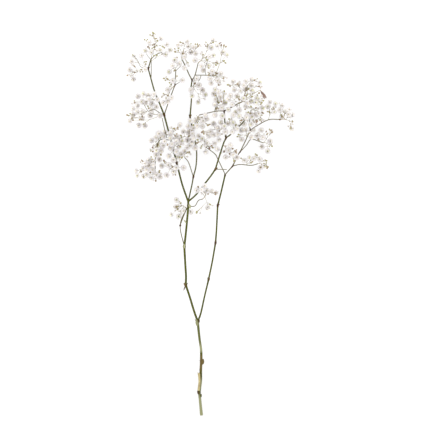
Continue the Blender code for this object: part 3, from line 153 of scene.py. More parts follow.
# Each limb: how many sides its tube has, and its points as x, y, z and radius, from its root to its tip.
LIMBS = {
    "trunk": (6, [
        (-9.2, -194.7, 1.3, 1.5), (-10.2, -184, 2.0, 1.35), (-11.4, -171.5, 3.0, 1.3),
        (-9.9, -159.7, 4.0, 1.25), (-9.9, -148.1, 5.0, 1.35), (-9.4, -139.4, 5.8, 1.35),
        (-9.6, -127.3, 6.9, 1.25), (-11.1, -117.1, 7.8, 1.2), (-13.1, -98.6, 9.4, 1.3)]),
    "left_limb": (6, [
        (-13.1, -98.6, 9.4, 1.0), (-17.0, -87.3, 10.6, 0.95), (-21.7, -71.8, 12.6, 0.95),
        (-25.1, -61.7, 14.0, 1.0), (-24.9, -51.9, 15.2, 0.95), (-25.5, -42.1, 16.4, 0.95),
        (-26.6, -22.4, 18.8, 1.0), (-25.5, -13.1, 19.8, 0.95), (-24.0, 1.5, 21.4, 0.9),
        (-22.5, 19.0, 23.2, 0.95), (-22.6, 23.2, 23.6, 0.95)]),
    "crown_limb": (6, [
        (-22.6, 23.2, 23.6, 0.85), (-28.5, 40.1, 25.0, 0.8), (-32.3, 54.7, 26.2, 0.8),
        (-34.3, 62.8, 27.0, 0.85), (-38.5, 79.6, 28.0, 0.75), (-42.7, 95.2, 29.0, 0.75),
        (-46.9, 111.0, 30.0, 0.8), (-52.9, 126.0, 31.0, 0.65), (-56.9, 135.8, 31.4, 0.65),
        (-61.3, 151.6, 31.6, 0.6), (-63.0, 157.9, 31.5, 0.6), (-60.2, 167.7, 31.0, 0.5)]),
    "crown_side_limb": (4, [
        (-46.9, 111.0, 30.0, 0.6), (-42.6, 123.5, 32.0, 0.55), (-36.0, 141.0, 34.0, 0.55),
        (-35.1, 155.2, 34.6, 0.5)]),
    "middle_limb": (4, [
        (-22.6, 23.2, 23.6, 0.65), (-18.9, 40.1, 22.0, 0.6), (-17.4, 48.3, 21.4, 0.65),
        (-14.7, 59.6, 21.0, 0.6), (-14.1, 74.3, 21.2, 0.6), (-16.7, 90.8, 22.4, 0.6),
        (-20.8, 109.1, 24.0, 0.7), (-19.3, 128.0, 26.0, 0.6), (-20.0, 136.7, 27.0, 0.6),
        (-18.7, 146.4, 28.2, 0.6), (-21.1, 150.8, 28.8, 0.5), (-27.0, 163.7, 30.0, 0.5),
        (-28.9, 166.9, 30.2, 0.5)]),
    "middle_side_limb": (4, [(-17.4, 48.3, 21.4, 0.5), (-22.1, 62.6, 18.4, 0.5), (-26.2, 68.2, 17.0, 0.45)]),
    "middle_top_limb": (4, [
        (-18.7, 146.4, 28.2, 0.5), (-15.7, 151.4, 29.2, 0.55), (-12.5, 163.4, 30.8, 0.45)]),
    "middle_top_twig": (4, [(-15.7, 151.4, 29.2, 0.45), (-4.6, 151.2, 30.2, 0.45), (3.5, 150.2, 31.0, 0.45)]),
    "cloud_limb": (6, [
        (-22.6, 23.2, 23.6, 0.85), (-14.2, 30.8, 25.5, 0.8), (-5.7, 41.5, 28.0, 0.8),
        (0.2, 49.1, 29.6, 0.8), (5.0, 56.0, 31.0, 0.85), (7.3, 63.8, 32.0, 0.75),
        (12.8, 81.1, 33.6, 0.75), (15.7, 87.7, 34.0, 0.75), (14.4, 106.0, 35.2, 0.65),
        (13.9, 114.8, 35.6, 0.65), (25.9, 121.2, 36.2, 0.6), (34.0, 125.7, 36.0, 0.55),
        (34.6, 130.6, 35.8, 0.5)]),
    "cloud_side_limb": (4, [(13.9, 114.8, 35.6, 0.55), (5.7, 114.6, 36.0, 0.5), (-11.4, 110.8, 36.4, 0.5)]),
    "right_limb": (6, [
        (-13.1, -98.6, 9.4, 0.8), (-10.0, -90.8, 9.6, 0.75), (-6.0, -72.9, 10.6, 0.7),
        (-1.9, -55.7, 11.8, 0.75), (1.7, -38.3, 13.2, 0.7), (5.1, -18.5, 14.8, 0.75),
        (6.1, -5.3, 16.0, 0.7), (7.0, 13.1, 17.4, 0.7), (7.4, 19.5, 18.0, 0.75), (10.6, 32.2, 19.0, 0.7),
        (14.9, 50.8, 20.4, 0.7)]),
    "right_inner_limb": (4, [
        (14.9, 50.8, 20.4, 0.5), (7.3, 66.7, 19.0, 0.5), (4.4, 71.8, 18.6, 0.5), (-5.1, 78.9, 17.6, 0.45)]),
    "right_outer_limb": (4, [
        (14.9, 50.8, 20.4, 0.6), (22.4, 59.2, 21.4, 0.65), (28.2, 71.0, 22.2, 0.6),
        (30.2, 73.9, 22.4, 0.6), (36.6, 87.4, 23.2, 0.55), (40.1, 95.3, 23.8, 0.55),
        (46.1, 99.6, 23.6, 0.5), (58.8, 106.3, 22.4, 0.5), (71.0, 106.6, 21.4, 0.45)]),
    "right_low_limb": (4, [
        (22.4, 59.2, 21.4, 0.5), (30.0, 61.0, 20.0, 0.5), (41.2, 60.1, 18.4, 0.5),
        (48.2, 61.8, 17.4, 0.45)]),
    "right_mid_limb": (4, [
        (30.2, 73.9, 22.4, 0.5), (36.4, 80.5, 20.4, 0.45), (41.6, 86.6, 19.0, 0.5),
        (53.5, 83.0, 17.0, 0.45)]),
    "right_top_limb": (4, [(40.1, 95.3, 23.8, 0.5), (39.6, 103.3, 25.6, 0.45), (41.1, 116.1, 28.0, 0.45)]),
    "low_left_limb": (4, [(-26.6, -22.4, 18.8, 0.5), (-30.9, -0.8, 12.6, 0.5), (-24.6, 16.6, 9.8, 0.45)]),
    "low_right_limb": (4, [
        (-22.5, 19.0, 23.2, 0.5), (-16.1, 18.7, 21.0, 0.45), (-12.4, 24.3, 19.0, 0.45),
        (-8.3, 25.8, 17.6, 0.45)]),
    "cloud_inner_limb": (4, [
        (15.7, 87.7, 34.0, 0.5), (20.2, 91.0, 34.4, 0.5), (27.9, 98.2, 35.0, 0.5),
        (34.5, 105.3, 35.6, 0.45)]),
    "lobe_limb": (4, [
        (-40.1, 85.5, 28.4, 0.5), (-51.2, 85.7, 29.0, 0.5), (-54.8, 76.6, 27.0, 0.5),
        (-56.0, 64.9, 25.0, 0.5), (-56.0, 53.7, 22.0, 0.45)]),
    "cloud_twig": (4, [(5.0, 56.0, 31.0, 0.45), (16.5, 55.8, 31.6, 0.4)]),
}

# Swollen joints: the limb, the number of its point, and how many scale leaves stand there.
KNOTS = [
    ("trunk", 2, 1), ("trunk", 4, 0), ("trunk", 5, 1), ("trunk", 8, 2),
    ("left_limb", 3, 2), ("left_limb", 6, 1), ("left_limb", 9, 1),
    ("crown_limb", 3, 1), ("crown_limb", 6, 1), ("crown_limb", 10, 1),
    ("crown_side_limb", 2, 1),
    ("middle_limb", 2, 0), ("middle_limb", 6, 2), ("middle_limb", 9, 1),
    ("cloud_limb", 4, 1), ("cloud_limb", 7, 1), ("cloud_limb", 9, 0),
    ("right_limb", 3, 1), ("right_limb", 5, 0), ("right_limb", 8, 1), ("right_limb", 10, 0),
    ("right_outer_limb", 1, 1), ("right_outer_limb", 3, 0), ("right_outer_limb", 5, 1),
]

# Each spray: its root on a limb, its blooms as x, y, z and share of the full size, and its groups of buds as
# x, y, z and number.
SPRAYS = {
    "spray_crown_left": ((-60.2, 167.7, 31.0), [
        (-59.8, 174.2, 34, 0.88), (-62, 184.5, 35, 0.8), (-49.7, 188.6, 27, 0.8), (-66.4, 176, 28, 0.8),
        (-44, 182.5, 31, 0.8),
    ], [
        (-58.5, 193.6, 30, 4), (-54.5, 186.5, 33, 3), (-65, 186.8, 28, 2), (-56.5, 180.8, 28, 5),
        (-47, 180.5, 33, 2), (-62.5, 181, 25, 2),
    ]),
    "spray_crown_side": ((-63.0, 157.9, 31.5), [
        (-82.1, 156.7, 28, 1), (-78.1, 147, 25, 1), (-80.6, 165.3, 32, 0.88), (-69.5, 170.9, 35, 0.88),
        (-65.9, 156.7, 37, 0.88),
    ], [
        (-78, 171, 33, 2), (-78, 160.5, 35, 2), (-77.5, 154.5, 22, 3), (-82.6, 152.1, 31, 2),
        (-70.3, 156, 25, 2), (-65.5, 163.5, 36, 2),
    ]),
    "spray_crown_right": ((-61.0, 164.8, 31.2), [
        (-45.3, 171.9, 32, 1), (-50.7, 176.4, 36, 0.7), (-40.6, 176.9, 28, 0.88),
    ], [(-55.5, 171.2, 34, 2), (-50, 171.5, 28, 1)]),
    "spray_arm_upper": ((-52.9, 126.0, 31.0), [
        (-73.5, 129.8, 28, 1), (-68, 132.3, 33, 0.88), (-62.9, 131.5, 28, 0.88), (-57, 132.2, 36.5, 0.88),
        (-53.8, 126.5, 38, 0.78), (-69.5, 124.7, 31, 1), (-62.4, 127, 35, 0.9), (-74, 120.7, 25, 0.88),
        (-59.8, 122.2, 30, 1), (-65.7, 123.4, 25, 0.78),
    ], [(-77.6, 123.2, 31, 2), (-64, 128, 24, 2)]),
    "spray_arm_lower": ((-46.9, 111.0, 30.0), [
        (-73.5, 116, 23, 0.9), (-78.6, 111.5, 28, 1), (-79.1, 117, 32, 0.88), (-69, 113.6, 30, 0.88),
        (-59.8, 116.1, 33, 0.88), (-61.3, 110.5, 27, 1), (-51.4, 110.4, 34, 1), (-69, 107.5, 24, 1),
        (-73, 100.4, 27, 1), (-66.4, 99.4, 23, 1), (-82.3, 104.4, 30, 0.88), (-55.3, 119.6, 24, 0.78),
    ], [
        (-83.4, 112, 31, 2), (-80.3, 106.4, 24, 2), (-72.4, 106.8, 31, 2), (-66.9, 101.9, 30, 1),
        (-57.3, 112.6, 29, 1), (-62.5, 119, 26, 2),
    ]),
    "spray_crown_inner": ((-36.0, 141.0, 34.0), [
        (-28, 146, 38, 0.88), (-38, 145.5, 40, 1), (-43.1, 136.4, 39, 1), (-39.5, 128.2, 40.5, 0.88),
        (-42.8, 124.4, 37, 0.88), (-47.7, 122.7, 40, 0.88),
    ], [
        (-45, 148, 36, 3), (-41, 141.8, 30, 2), (-33, 149.6, 38, 1), (-47.5, 130.2, 34, 3),
        (-43.2, 130.2, 33, 2),
    ]),
    "spray_top_left": ((-35.1, 155.2, 34.6), [
        (-36, 166.3, 38, 1), (-38.5, 160.4, 42, 0.9), (-42.1, 154.6, 37, 1), (-31, 162.7, 38, 0.88),
        (-26.4, 158.2, 36, 0.88),
    ], [(-37, 157, 30, 2), (-33.5, 170, 36, 1)]),
    "spray_top_middle": ((-28.9, 166.9, 30.2), [
        (-23.3, 185.6, 28, 0.7), (-25.9, 169.8, 35, 0.78), (-17.2, 179.5, 33, 0.7), (-19.5, 174.4, 27, 1),
        (-15.2, 173, 32, 1), (-33, 182, 34, 0.7), (-22.3, 180.8, 25, 0.7),
    ], [
        (-29.4, 183.3, 30, 3), (-34, 176.5, 28, 4), (-26.4, 172.8, 27, 1), (-18.8, 183.2, 31, 1),
        (-12.8, 181.2, 33, 4), (-23.5, 163.5, 33, 2),
    ]),
    "spray_top_right": ((-12.5, 163.4, 30.8), [
        (-16.2, 165.8, 36, 1), (-9.1, 160.4, 36, 0.88), (-1.5, 161.2, 33, 0.9), (-7.1, 156.2, 30, 0.88),
        (-0.5, 169.8, 37, 0.7), (3, 171, 31, 0.7), (1, 179, 31, 1), (2.5, 187, 28, 0.7),
    ], [
        (-7.5, 173.4, 33, 2), (-3.7, 167.3, 30, 3), (-3.6, 181.6, 28, 3), (-4.4, 185.6, 31, 1),
        (3.5, 184.8, 32, 2), (-2, 157.5, 37, 1), (5.8, 162.5, 31, 4),
    ]),
    "spray_far_top_right": ((3.5, 150.2, 31.0), [
        (1.5, 155, 35, 0.88), (10.6, 153.1, 33, 0.88), (-1, 147.3, 36.5, 0.88), (7.1, 145.5, 36, 1),
        (0.5, 142.8, 30, 0.88), (13.2, 174.4, 29, 0.88), (16.7, 171.9, 34, 0.88), (6.1, 181, 33, 0.7),
        (5, 136.6, 35, 0.9),
    ], [
        (10.3, 183.4, 29, 2), (14, 180.2, 31, 2), (14.9, 165.3, 31, 2), (4.6, 152, 29, 4),
        (-2.2, 152.3, 33, 2), (13.6, 147.6, 34, 3), (8.5, 141.8, 32, 2),
    ]),
    "spray_middle_right": ((-19.3, 140.9, 27.5), [
        (-11.2, 141, 30, 1), (-19.8, 136.4, 33.5, 1), (-8.1, 136.4, 26, 1), (-5.1, 131.8, 31, 1),
        (-18.8, 130.4, 32, 0.9), (-12.2, 123.7, 24, 0.88), (-14.2, 148.2, 36, 0.7),
    ], [(-11.7, 136.4, 35, 1), (-11.4, 127.5, 28, 1), (-5.6, 126.4, 25, 1), (-15.5, 143.5, 26, 2)]),
    "spray_cloud_left_top": ((-42.7, 95.2, 29.0), [
        (-52.2, 92.2, 36, 1), (-47.7, 88.7, 34, 0.88), (-40.6, 92.8, 36, 0.9), (-40.3, 87.2, 36, 0.88),
        (-31, 101, 31, 0.88), (-46.5, 94, 27, 0.88),
    ], [(-38.3, 98, 32, 3), (-32.5, 98.9, 28, 2), (-36.5, 91, 34, 3)]),
    "spray_cloud_left_middle": ((-51.2, 85.7, 29.0), [
        (-59.8, 85.2, 27, 1), (-55.3, 88.9, 31, 0.88), (-48.2, 80.1, 33, 1), (-49.7, 74.8, 31, 1),
        (-54.5, 74.8, 34, 0.88), (-46.1, 84.3, 37, 0.88), (-55.3, 70.6, 30, 1), (-53, 80.5, 23, 0.88),
    ], [(-59.6, 74.8, 27, 2), (-51.3, 88.5, 24, 2), (-50.7, 72, 25, 2), (-56, 80, 24, 2)]),
    "spray_cloud_left_inner": ((-38.5, 79.6, 28.0), [
        (-43.6, 77.6, 34, 1), (-38, 78.6, 36, 1), (-34, 89.7, 33, 0.88), (-29, 84.2, 31, 1),
        (-34.5, 73.5, 33, 0.9), (-31.9, 78.6, 27, 0.88), (-42.3, 69.5, 31, 0.88), (-35.5, 84.3, 38, 0.78),
    ], [(-33, 86.5, 27, 2), (-31, 80.2, 35, 3), (-42.2, 81.6, 38, 2), (-36.7, 71.5, 26, 1)]),
    "spray_lobe_left": ((-56.0, 64.9, 25.0), [
        (-62.4, 64.9, 29, 1), (-58.2, 60.6, 31, 0.9), (-62.6, 59.2, 22, 0.88), (-69, 57, 26, 0.9),
        (-65, 55.6, 31, 0.88), (-76, 54.8, 24, 0.88), (-74.5, 49.8, 29, 0.7), (-51.5, 66.4, 20, 1),
        (-66.5, 61.8, 33, 0.78),
    ], [(-69.8, 63.2, 27, 2), (-65.1, 59.3, 27, 1), (-59, 67.5, 31, 2), (-70.5, 53.3, 21, 2)]),
    "spray_lobe_low": ((-56.0, 53.7, 22.0), [
        (-69, 50.2, 20, 0.88), (-64.9, 50.3, 25.5, 0.88), (-55.3, 50.4, 27, 1), (-51.4, 48, 21, 1),
        (-60.3, 46.7, 23, 0.9), (-58.3, 56.4, 27.5, 0.9),
    ], [(-61.6, 52.7, 19, 2), (-69.2, 48.3, 25, 1), (-52.7, 52.7, 26, 2), (-55.6, 46, 15, 2)]),
    "spray_cloud_left_low": ((-33.3, 58.8, 26.6), [
        (-51.2, 58.3, 25, 1), (-42.6, 60.3, 33, 1), (-37, 65.4, 34, 1), (-34.7, 57.4, 34, 1),
        (-26.9, 57.3, 30, 1), (-44.6, 49.7, 25, 1), (-37.3, 53.2, 28, 0.88),
    ], [(-47.5, 63.5, 26, 3), (-39.5, 57.5, 24, 3), (-36.5, 52.2, 22, 2), (-30.2, 67.4, 30, 2)]),
    "spray_middle_low": ((-26.2, 68.2, 17.0), [
        (-29.4, 71.5, 22, 1), (-26.4, 74.8, 15, 0.88), (-33.5, 68.5, 13, 0.88), (-23.3, 78.5, 10, 0.9),
    ], [(-22.3, 73.2, 18, 3), (-24.5, 69, 12, 1)]),
    "spray_centre_left": ((-16.7, 90.8, 22.4), [
        (-22.3, 94.3, 19, 1), (-22.3, 99.6, 30.5, 1), (-20.5, 104.8, 31, 0.88), (-17.9, 92.2, 30, 0.88),
        (-27.9, 94.8, 15, 0.88), (-17.8, 98.4, 31, 0.9), (-18.8, 83.1, 29, 0.88), (-23.8, 85.2, 17, 1),
        (-15.2, 77.6, 28, 1), (-20.8, 80, 20, 0.88), (-16.5, 86, 30, 0.88),
    ], [(-22.3, 90.5, 14, 2), (-17, 88.5, 16, 2), (-11.8, 84.3, 25, 3), (-29, 89, 21, 2)]),
    "spray_centre_top": ((-11.4, 110.8, 36.4), [
        (-7.6, 105, 41, 1), (-3.9, 106.8, 34, 0.88), (-8.1, 98.9, 37, 0.9), (-12.2, 107.5, 31, 0.7),
        (-17.7, 105, 34, 0.88), (-13.4, 99.4, 41, 0.88), (-5, 110.4, 42, 0.7),
    ], [(-9.1, 108.9, 31, 1), (-16.4, 101, 37, 2), (-1, 100.4, 36, 2), (-13, 103, 36, 1)]),
    "spray_centre_low": ((-5.1, 78.9, 17.6), [
        (-5.1, 73.5, 22, 0.88), (-3.5, 82.8, 22, 0.88), (4.6, 82.6, 20, 0.88), (-8.3, 87.5, 21, 0.88),
        (-12.5, 89.5, 15, 0.88), (-1.5, 90, 16, 0.9),
    ], [(-8.4, 79, 25, 3), (-2, 78.4, 13, 2), (2.8, 78.9, 16, 2), (-5.1, 85.5, 13, 2)]),
    "spray_right_cloud_left": ((5.7, 114.6, 36.0), [
        (11.2, 118.1, 41, 1), (4.6, 121.7, 39, 0.9), (4.1, 110.5, 40, 0.88), (10.1, 128.8, 36, 0.9),
        (3.5, 133.3, 31, 1), (8.1, 134.2, 40, 0.9), (15.2, 123.2, 31, 1), (5.1, 126.5, 29, 0.7),
    ], [
        (7, 117.5, 30, 2), (5.9, 130.8, 41, 1), (14, 133.5, 34, 3), (8.9, 124.8, 34, 3), (4.1, 107.5, 35, 1),
        (13.2, 126.2, 38, 1),
    ]),
    "spray_right_cloud_top": ((34.6, 130.6, 35.8), [
        (22.8, 145, 31, 0.9), (36, 145, 37, 0.88), (41.6, 141.2, 33, 0.9), (50.2, 144, 31, 0.88),
        (36, 138.2, 31, 1), (30.6, 135.6, 40, 0.88), (23.6, 136.4, 36, 0.88), (41.8, 135.8, 40, 0.88),
        (33.5, 141.2, 42, 0.7), (26.9, 130, 33, 0.88), (41.5, 147.2, 28, 0.78), (29, 143, 27, 0.88),
    ], [
        (27.4, 142.5, 36, 2), (19.5, 141.6, 30, 3), (22.5, 138.9, 30, 1), (46.6, 146, 34, 2),
        (50.4, 139.9, 34, 2), (39.8, 138.4, 35, 2), (44.8, 133.3, 33, 2), (36, 131, 41, 2),
    ]),
    "spray_right_cloud_side": ((31.0, 124.0, 36.1), [
        (47.2, 127.8, 35, 0.9), (45.6, 123.2, 41, 0.88), (41.5, 124.6, 33, 0.88), (20.3, 130.3, 41, 0.88),
        (17.7, 126.6, 44.5, 0.88), (22.3, 121.2, 44, 0.88), (18, 116.2, 41.5, 0.88), (29.4, 115.4, 39, 0.88),
        (33.2, 127.4, 43, 0.9), (37.4, 122.6, 41, 0.88), (53, 118.2, 34, 1), (38.4, 132.5, 38, 0.88),
    ], [
        (35, 130.5, 37, 2), (42, 129.8, 36, 2), (48.7, 131.3, 34, 2), (52, 124, 36, 4),
        (29, 127.5, 41, 3), (26.5, 119.5, 32, 1),
    ]),
    "spray_arm_inner": ((36.6, 87.4, 23.2), [
        (31.4, 85.7, 30, 1), (41.6, 88.2, 30, 0.88), (43.6, 95.8, 17, 0.9), (36, 96.5, 17, 0.88),
    ], [(28.4, 90.2, 26, 2), (40, 92.5, 29, 2)]),
    "spray_right_cloud_low": ((41.1, 116.1, 28.0), [
        (42.1, 109, 33, 1), (46.8, 111.2, 27, 1), (49.4, 115.4, 33, 0.88), (36.5, 109.4, 28, 0.88),
        (40.6, 101.2, 31, 0.88), (35.5, 120, 26, 0.88),
    ], [
        (47.2, 117.1, 29, 2), (51, 112.6, 30, 2), (40.4, 119.8, 33, 2), (38, 113.6, 35, 2),
        (45.5, 104.2, 29, 4), (51, 105.5, 27, 3), (34.5, 116.1, 31, 1),
    ]),
    "spray_centre_right": ((24.0, 94.6, 34.7), [
        (26.9, 97.4, 40.5, 0.88), (21.8, 93.4, 40.5, 0.9), (30.9, 95.2, 29, 1), (22.6, 102.9, 38, 0.88),
        (17.5, 102.4, 30, 0.88),
    ], [(26, 100.5, 32, 2), (20.1, 106, 36, 2)]),
    "spray_inner_top": ((34.5, 105.3, 35.6), [
        (29.4, 110, 40.5, 0.88), (22.9, 110.5, 41, 0.88), (26.2, 114, 35, 0.88), (35.2, 99.8, 31, 0.88),
        (36.6, 108, 42, 0.88),
    ], [(30.5, 104.5, 38, 2), (38.5, 105.5, 33, 1)]),
    "spray_centre_middle": ((15.0, 97.0, 34.6), [
        (14.2, 99.6, 41, 1), (10.2, 103.4, 36, 0.88), (15.5, 93.4, 40.5, 1), (3, 102.4, 31, 1),
        (0, 94.3, 36, 1), (3.2, 90.4, 30, 0.9), (7.1, 91.2, 38, 1), (8.6, 85.4, 34, 0.9),
        (7.4, 97.6, 36, 0.88), (12.2, 109.7, 41.5, 1),
    ], [(7.6, 94.8, 31, 2), (12.6, 91.2, 30, 1), (-4.8, 91.8, 37, 4), (-8.8, 93.5, 33, 2)]),
    "spray_fan": ((12.8, 81.1, 33.6), [
        (18.3, 75, 37, 1), (15.7, 67.9, 34, 1), (19.8, 80.6, 40, 0.88), (27.2, 67.6, 32, 1),
        (23, 70.7, 38, 0.88), (6.8, 76.4, 33, 0.7),
    ], [
        (15.2, 80.1, 39, 1), (21.3, 77.6, 34, 2), (13.2, 74, 30, 2), (20.3, 71.5, 31, 2), (25.5, 73.4, 35, 3),
        (24, 66, 35, 2),
    ]),
    "spray_far_right": ((71.0, 106.6, 21.4), [
        (72.8, 121.2, 22, 0.88), (70, 116.1, 27, 1), (76.2, 115.1, 18, 0.88), (83.4, 111.3, 22, 0.88),
        (79.1, 111.6, 27, 0.88), (82.6, 96.8, 17, 0.88), (79.6, 117, 31, 0.7),
    ], [
        (69.8, 122.7, 28, 1), (71, 112.8, 17, 2), (78.6, 109.6, 16, 3), (84.6, 104.2, 22, 2),
        (80.6, 98.6, 23, 2),
    ]),
    "spray_far_right_top": ((58.8, 106.3, 22.4), [
        (58.3, 119.6, 24, 1), (65.8, 122.7, 27, 0.88), (60.3, 124.8, 19, 0.7), (64.4, 113.8, 28, 0.7),
    ], [(58.3, 114.4, 19, 2), (63.7, 118, 21, 3)]),
    "spray_right_middle": ((53.5, 83.0, 17.0), [
        (47.2, 90, 22, 1), (52.2, 79.1, 12, 1), (60.8, 84.7, 20, 1), (58.3, 74.5, 14, 1),
        (53.2, 88.6, 24, 0.88), (51.7, 95.8, 18, 0.9),
    ], [
        (48.5, 86.5, 17, 2), (61, 80, 22, 2), (57.8, 92.8, 22, 2), (61.3, 95.6, 17, 3), (47.5, 94.3, 28, 1),
    ]),
    "spray_right_low": ((48.2, 61.8, 17.4), [
        (50.2, 66.4, 21, 1), (55.3, 59.6, 14, 0.88), (48.7, 54, 12, 0.7),
    ], [(46.6, 70, 19, 2), (55.7, 64, 21, 4), (57.3, 58, 19, 2)]),
    "spray_right_small": ((36.0, 60.5, 19.2), [
        (34.3, 64.9, 25, 0.9), (44.5, 67.2, 23, 0.7), (39.5, 67.4, 26, 0.7),
    ], [(41.4, 64.4, 22, 2), (30.6, 66, 23, 1)]),
    "spray_low_left": ((-24.6, 16.6, 9.8), [
        (-35, 25.3, 10, 1), (-32.7, 8.3, 8.5, 1), (-40.4, 9.8, 13, 0.9), (-19.8, 12.7, 12, 1),
        (-27.4, 14.2, 16, 0.78),
    ], [(-30.5, 22.5, 12, 2), (-34.7, 17, 7, 3), (-30.5, 12.8, 13, 2)]),
    "spray_low_right": ((-8.3, 25.8, 17.6), [
        (-14.2, 34.7, 32, 1), (-3.5, 34.5, 22, 1), (-5.6, 39.2, 34, 0.88), (-9.3, 35, 37.5, 0.7),
        (-3, 16.7, 13, 1), (6.1, 32.4, 16, 0.7), (1.5, 34.4, 12, 0.7),
    ], [
        (-13.5, 38, 26, 2), (-8.5, 32, 19, 3), (-2.8, 30.2, 15, 1), (4.9, 31.4, 20, 2), (0.5, 19.5, 18, 2),
        (-14.6, 11.4, 15, 3),
    ]),
}

# Blooms that face down and lie on the surface: the spray, x and y.
RESTING = [
    ("spray_lobe_left", -64.0, 57.0),
    ("spray_cloud_left_top", -53.0, 93.0),
    ("spray_top_middle", -28.0, 174.0),
    ("spray_centre_left", -19.0, 96.0),
    ("spray_far_right", 73.0, 110.0),
    ("spray_right_low", 51.0, 58.0),
    ("spray_low_left", -35.0, 18.0),
    ("spray_right_cloud_low", 42.0, 112.0),
]


class Head:
    """A bloom or a bud: where its middle is, how large it is, and which way it faces if that is fixed."""

    def __init__(self, kind, place, radius, facing=None):
        self.kind = kind
        self.place = place
        self.radius = radius
        self.facing = facing

    def body(self, facing):
        """The capsule that the head fills, as two ends and a radius."""
        if self.kind == "withered":
            return Vector(WITHERED_NECK), Vector(WITHERED_TIP), self.radius
        if self.kind == "bloom":
            return self.place, self.place, self.radius
        half = facing * (BUD_LENGTH / 2 - self.radius)
        return self.place - half, self.place + half, self.radius


class Sprig:
    """One unbranched stalk, through its forks from root to head."""

    def __init__(self, points, head):
        self.points = points
        self.radii = []
        self.head = head


class Room:
    """The space that is taken, as capsules, each with the name of the body that holds it."""

    def __init__(self):
        self.rows = []
        self.owners = []
        self.table = None

    def add(self, owner, start, end, radius):
        self.rows.append((*start, *end, radius))
        self.owners.append(owner)
        self.table = None

    def others(self, owner):
        if self.table is None or self.table[0] != (owner, len(self.rows)):
            kept = [row for row, name in zip(self.rows, self.owners) if name != owner]
            self.table = ((owner, len(self.rows)), np.array(kept).reshape(-1, 7))
        return self.table[1]

    def gap(self, owner, start, end, radius):
        """The clear distance from a capsule to everything that other bodies hold."""
        rows = self.others(owner)
        if not len(rows):
            return math.inf
        first = np.array(start)
        along = np.array(end) - first
        second = rows[:, 0:3]
        across = rows[:, 3:6] - second
        apart = first - second
        own = float(along @ along) + TINY
        other = np.einsum("ij,ij->i", across, across) + TINY
        shared = across @ along
        off_own = apart @ along
        off_other = np.einsum("ij,ij->i", across, apart)
        spread = own * other - shared * shared + TINY
        s = np.clip((shared * off_other - off_own * other) / spread, 0, 1)
        t = np.clip((shared * s + off_other) / other, 0, 1)
        s = np.clip((shared * t - off_own) / own, 0, 1)
        between = apart + s[:, None] * along - t[:, None] * across
        return float((np.linalg.norm(between, axis=1) - rows[:, 6]).min() - radius)


def limb_points(name):
    """A limb's points, with two more on either side of each swollen joint."""
    points = LIMBS[name][1]
    swollen = {index for limb, index, _ in KNOTS if limb == name}
    slim = LIMBS[name][0] < KNOT_LEAST_SIDES
    found = []
    for index, (x, y, z, radius) in enumerate(points):
        here = Vector((x, y, z))
        if index not in swollen or slim:
            found.append((here, radius * (KNOT_SLIM_SWELL if index in swollen else 1)))
            continue
        for step in (-1, 0, 1):
            if step == 0:
                found.append((here, radius * KNOT_SWELL))
            elif 0 <= index + step < len(points):
                towards = (Vector(points[index + step][:3]) - here).normalized()
                found.append((here + towards * KNOT_REACH, radius))
    return found


def bracts():
    """The scale leaves, as their base, their direction and their length."""
    rng = random.Random(BRACT_SEED)
    found = []
    for name, index, count in KNOTS:
        points = LIMBS[name][1]
        here = Vector(points[index][:3])
        before = Vector(points[max(index - 1, 0)][:3])
        after = Vector(points[min(index + 1, len(points) - 1)][:3])
        along = (after - before).normalized()
        side = along.cross(Vector((0, 0, 1))).normalized()
        for number in range(count):
            way = side * (1 if number == 0 else -1) * (-1 if index % 2 else 1)
            lift = Vector((0, 0, rng.uniform(0, BRACT_LIFT)))
            lean = (along * BRACT_ALONG + way * BRACT_ACROSS + lift).normalized()
            radius = points[index][3]
            length = BRACT_LENGTH * (BRACT_BASE_SHARE + BRACT_RADIUS_SHARE * radius)
            found.append((here + way * radius / 2, lean, length))
    return found


def occupy_limbs(room):
    for name in LIMBS:
        points = limb_points(name)
        for (start, first), (end, second) in zip(points, points[1:]):
            room.add("main_stem", start, end, max(first, second))
    for base, lean, length in bracts():
        room.add("main_stem", base, base + lean * length, BRACT_RADIUS)


def random_in_ball(rng):
    while True:
        found = Vector((rng.uniform(-1, 1), rng.uniform(-1, 1), rng.uniform(-1, 1)))
        if found.length <= 1:
            return found


def scatter(owner, blooms, buds, rng, room, placed):
    """Places the heads of a spray near their places in the table, each clear of all the others."""
    wanted = [("bloom", (x, y, z), BLOOM_RADIUS * share, BLOOM_STRAY) for x, y, z, share in blooms]
    for x, y, z, number in buds:
        stray = BUD_STRAY * math.sqrt(number)
        wanted += [("bud", (x, y, z), BUD_RADIUS, stray)] * ((number + BUD_EXCESS) // BUD_SHARE)
    found = []
    for kind, middle, size, stray in wanted:
        for attempt in range(PLACE_ATTEMPTS):
            place = Vector(middle) + random_in_ball(rng) * (stray + attempt * STRAY_GROWTH)
            place.z = max(place.z, size + LOWEST_GAP)
            if apart(kind, place, size, placed + found) and room.gap(owner, place, place, size) > CLEARANCE:
                found.append(Head(kind, place, size))
                break
    return found


def apart(kind, place, radius, heads):
    """Whether a head of this kind and size would stand far enough from all the others."""
    for other in heads:
        share = BLOOM_SPACING if kind == other.kind == "bloom" else BUD_SPACING
        if (place - other.place).length < (radius + other.radius) * share:
            return False
    return True


def split(fork, group, rng):
    """Parts the heads beyond a fork into two or three, by the way that they lie."""
    if len(group) <= LARGEST_FAN:
        return [[head] for head in group]
    ways = [(head.place - fork).normalized() for head in group]
    pairs = [(ways[i].dot(ways[j]), i, j) for i in range(len(ways)) for j in range(i)]
    _, first, second = min(pairs)
    parts = [[], []]
    for head, way in zip(group, ways):
        parts[way.dot(ways[second]) > way.dot(ways[first])].append(head)
    near = min(group, key=lambda head: (head.place - fork).length)
    if rng.random() < NEAR_CHANCE:
        parts = [[head for head in part if head is not near] for part in parts] + [[near]]
    return [part for part in parts if part]


